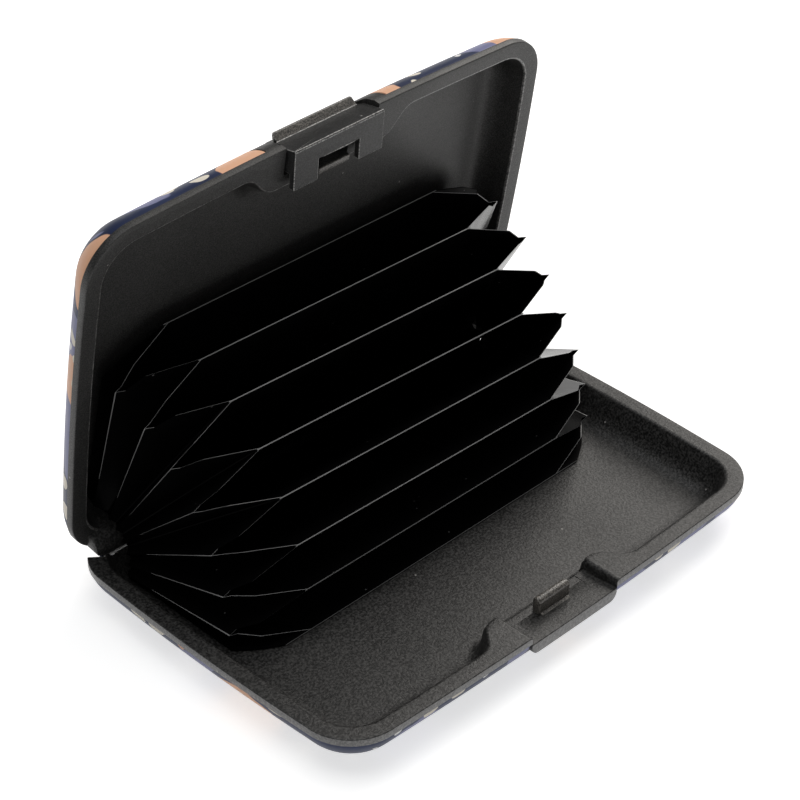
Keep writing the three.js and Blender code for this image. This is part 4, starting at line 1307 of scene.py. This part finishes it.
class WALLET_OT_pockets(Operator):
    """Makes the fan of film pockets: eight sheets and the pleats between them."""

    bl_idname = "wallet.pockets"
    bl_label = "Film pockets"

    def execute(self, context):
        self.opening = context.scene.wallet_case.opening
        colour = tuple(context.scene.wallet_finishes.film)
        self.film = pocket_film("film_face", colour, roughness=(0.35, 0.50), specular=0.02)
        self.gloss = pocket_film("film_gloss", colour, roughness=(0.16, 0.30), specular=0.10)
        # Grey film as a painted highlight on the cut edges and fold lines
        self.edge = pocket_film("film_painted_highlight", (0.17, 0.17, 0.17), roughness=(0.25, 0.40), specular=0.5)
        for sheet in range(LAST_SHEET + 1):
            self.make_leaf(sheet)
        for sheet in range(LAST_SHEET):
            for side in (-1, 1):
                self.make_gusset(sheet, side)
            self.make_root_fold(sheet)
        return {"FINISHED"}

    def mouth(self, sheet):
        """How far from the hinge a sheet ends."""
        return MOUTH_REACH + MOUTH_SPREAD * (sheet - MOUTH_MIDDLE) ** 2

    def droop(self, sheet, x):
        """How far a sheet of soft film turns out of its plane: it sags, and sags more to the right."""
        twist = TWIST_DEGREES * math.sin(math.pi * (sheet / len(LEAVES)) ** TWIST_SKEW)
        sag = -SAG_DEGREES * math.sin(math.pi * min(sheet, SAG_SHEETS) / SAG_SHEETS)
        return math.radians(sag - twist * x / VALLEY_HALF / 2)

    def place(self, sheet, x, reach, lift):
        """A point on a sheet at a side position and a reach from the hinge, lifted off its face."""
        height = BOTTOM_SHEET + sheet * SHEET_PITCH
        root = TOP_SHEET_ROOT if sheet == LAST_SHEET else height
        lean = math.asin((root - height) / (self.mouth(sheet) - ROOT_REACH))
        lifted = lift + (reach - ROOT_REACH) * math.tan(self.droop(sheet, x))
        local = Matrix.Rotation(lean, 3, "X") @ Vector((x, ROOT_REACH - reach, lifted))
        shut = local + Vector((0, -ROOT_REACH, root))
        turned = Matrix.Rotation(-self.opening * sheet / LAST_SHEET, 3, "X") @ shut
        return turned + Vector((0, *AXIS))

    def make_leaf(self, sheet):
        """A sheet of film with a painted highlight along the cut edge at its mouth."""
        mouth = self.mouth(sheet)
        rows = np.linspace(0, 1, LEAF_ROWS)
        across = np.linspace(-1, 1, LEAF_COLUMNS)
        net = []
        for lift in (FILM / 2, -FILM / 2):
            for share in across:
                for row in rows:
                    reach = ROOT_REACH + (mouth - ROOT_REACH) * row
                    half = self.leaf_half(sheet, mouth, reach)
                    net.append(self.place(sheet, half * share, reach, lift))
        count = len(rows) * len(across)
        upper = band_faces(len(across), len(rows), False)
        faces = upper + [tuple(count + v for v in face[::-1]) for face in upper]
        start = len(faces) + len(across) + len(rows) - 2
        mouth_edge = range(start, start + len(across) - 1)
        ring = self.border(len(across), len(rows))
        for here, beyond in zip(ring, ring[1:] + ring[:1]):
            faces.append((here, beyond, count + beyond, count + here))
        name = f"leaf_{LEAVES[sheet]}"
        accents = ((self.edge, mouth_edge),)
        piece = make_piece(f"{name}_film", net, faces, self.film, LEAF_BODIES[sheet], accents=accents)
        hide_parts(name)

    def leaf_half(self, sheet, mouth, reach):
        """Half a sheet's width at a reach; outer sheets have cut corners, the others narrow to the mouth."""
        if 0 < sheet < LAST_SHEET:
            return ROOT_HALF + (VALLEY_HALF - ROOT_HALF) * (reach - ROOT_REACH) / (mouth - ROOT_REACH)
        cut = max(0, (reach - (mouth - TIP_SETBACK)) / TIP_SETBACK)
        return ROOT_HALF + (OUTER_MOUTH_HALF[sheet > 0] - ROOT_HALF) * cut

    def border(self, columns, rows):
        """Vertices round the edge of an open net, in order."""
        ring = [column * rows for column in range(columns)]
        ring += [(columns - 1) * rows + row for row in range(1, rows)]
        ring += [column * rows + rows - 1 for column in range(columns - 2, -1, -1)]
        return ring + list(range(rows - 2, 0, -1))

    def make_gusset(self, sheet, side):
        """A pleat: a V of film from one sheet's edge out to the fold and back to the next sheet's edge."""
        tip = self.mouth(sheet + 0.5) - TIP_SETBACK

        def fold(reach):
            low = self.place(sheet, side * TIP_HALF, reach, 0)
            return low.lerp(self.place(sheet + 1, side * TIP_HALF, reach, 0), 0.5)

        def join(own, up, lift):
            half = ROOT_HALF + (VALLEY_HALF - ROOT_HALF) * up - GUSSET_OVERLAP
            return self.place(own, side * half, ROOT_REACH + (self.mouth(own) - ROOT_REACH) * up, lift)

        def wall(own, lift):
            fold_root, fold_tip = fold(ROOT_REACH), fold(tip)
            return [[
                join(own, up * edge, lift).lerp(fold_root.lerp(fold_tip, up * edge), out)
                for up in np.linspace(0, 1, FOLD_STEPS)] for out, edge in self.cut_edge()]

        low = wall(sheet, GUSSET_LIFT)
        high = wall(sheet + 1, -GUSSET_LIFT)
        outer = low + high[::-1][1:]
        inner = [[point - Vector((side * GUSSET_WALL, 0, 0)) for point in line] for line in outer]
        lines = outer + inner[::-1]
        rows = len(lines[0])
        points = [point for line in lines for point in line]
        faces = band_faces(len(lines), rows, True)
        # The fold lines and the mouth cuts carry the painted highlight, left out near the hinge
        fold_lines = (len(low) - 2, len(low) - 1)
        accent = [line * (rows - 1) + row for line in fold_lines for row in range(FOLD_FADE, rows - 1)]
        last = len(lines) - 1
        for row in (0, rows - 1):
            start = len(faces)
            for line in range(len(outer) - 1):
                faces.append([v * rows + row for v in (line, line + 1, last - line - 1, last - line)])
        accent += range(start, len(faces))
        name = f"gusset_{LEAVES[sheet + 1]}{LEAVES[sheet]}_{'left' if side < 0 else 'right'}"
        film = self.film if side < 0 else self.gloss
        accents = ((self.edge, accent),)
        piece = make_piece(f"{name}_film", points, faces, film, None, GUSSET_SHARP_ANGLE, accents)
        start, end = self.blend_line(sheet, low[0][-1], high[0][-1])
        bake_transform(piece)
        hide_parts(name)

    def make_root_fold(self, sheet):
        """The fold that closes a pocket behind: film that bulges from one root line to the next."""

        def line(share, inside):
            reach = ROOT_REACH + inside - ROOT_FOLD_BULGE * math.sin(math.pi * share)
            low, high = (self.place(sheet + step, 0, reach, 0) for step in (0, 1))
            return low.lerp(high, float(share))

        shares = np.linspace(0, 1, FOLD_STEPS)
        outer = [line(share, 0) for share in shares]
        lines = outer + [line(share, FILM) for share in shares[::-1]]
        across = np.linspace(-ROOT_HALF, ROOT_HALF, ROOT_FOLD_COLUMNS)
        points = [place + Vector((float(x), 0, 0)) for place in lines for x in across]
        name = f"root_fold_{LEAVES[sheet + 1]}{LEAVES[sheet]}"
        piece = make_piece(f"{name}_film", points, capped_faces(len(lines), len(across)), self.film, None)
        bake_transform(piece)
        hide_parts(name)

    def cut_edge(self):
        """Places across a pleat's wall, with how far up each the film's cut edge lies."""
        outs, ups = zip(*CUT_EDGE)
        places = sorted({*np.linspace(0, 1, FOLD_STEPS), *outs, FOLD_LINE})
        return [(out, float(np.interp(out, outs, ups))) for out in places]

    def blend_line(self, sheet, low, high):
        """Start and end of a bend line on which each of a pleat's two edges lies at its own sheet's share of
        the turn.
        """
        shares = [self.bend_share((sheet + step) / LAST_SHEET) for step in (0, 1)]
        run = (high - low) / (shares[1] - shares[0])
        start = low - run * shares[0]
        return start * MM, (start + run) * MM

    def bend_share(self, weight):
        """How far along the bend a point lies that turns by this share of the whole angle."""
        shares = np.linspace(0, 1, BEND_SAMPLES)
        return float(np.interp(weight, shares ** 2 * (3 - 2 * shares), shares))


class WALLET_PT_pieces(Panel):
    """Shows the wallet's sizes and finishes, and a button for each piece."""

    bl_label = "Card wallet"
    bl_idname = "WALLET_PT_pieces"
    bl_space_type = "VIEW_3D"
    bl_region_type = "UI"
    bl_category = "Wallet"

    def draw(self, context):
        for name in ("length", "width", "corner", "height", "rim", "opening"):
            self.layout.prop(context.scene.wallet_case, name)
        for name in ("frame", "film", "ground", "warm", "pale", "cool", "dots"):
            self.layout.prop(context.scene.wallet_finishes, name)
        for operator in OPERATORS:
            self.layout.operator(operator.bl_idname)


OPERATORS = (
    WALLET_OT_stage,
    WALLET_OT_tray,
    WALLET_OT_lid,
    WALLET_OT_skins,
    WALLET_OT_hinge,
    WALLET_OT_latch,
    WALLET_OT_pockets,
)
CLASSES = (CaseSizes, Finishes, *OPERATORS, WALLET_PT_pieces)


def register():
    for cls in CLASSES:
        bpy.utils.register_class(cls)
    bpy.types.Scene.wallet_case = PointerProperty(type=CaseSizes)
    bpy.types.Scene.wallet_finishes = PointerProperty(type=Finishes)


def unregister():
    del bpy.types.Scene.wallet_finishes
    del bpy.types.Scene.wallet_case
    for cls in reversed(CLASSES):
        bpy.utils.unregister_class(cls)


def main():
    register()
    bpy.ops.wallet.stage()
    bpy.ops.wallet.tray()
    bpy.ops.wallet.lid()
    bpy.ops.wallet.skins()
    bpy.ops.wallet.hinge()
    bpy.ops.wallet.latch()
    bpy.ops.wallet.pockets()


if __name__ == "__main__":
    main()
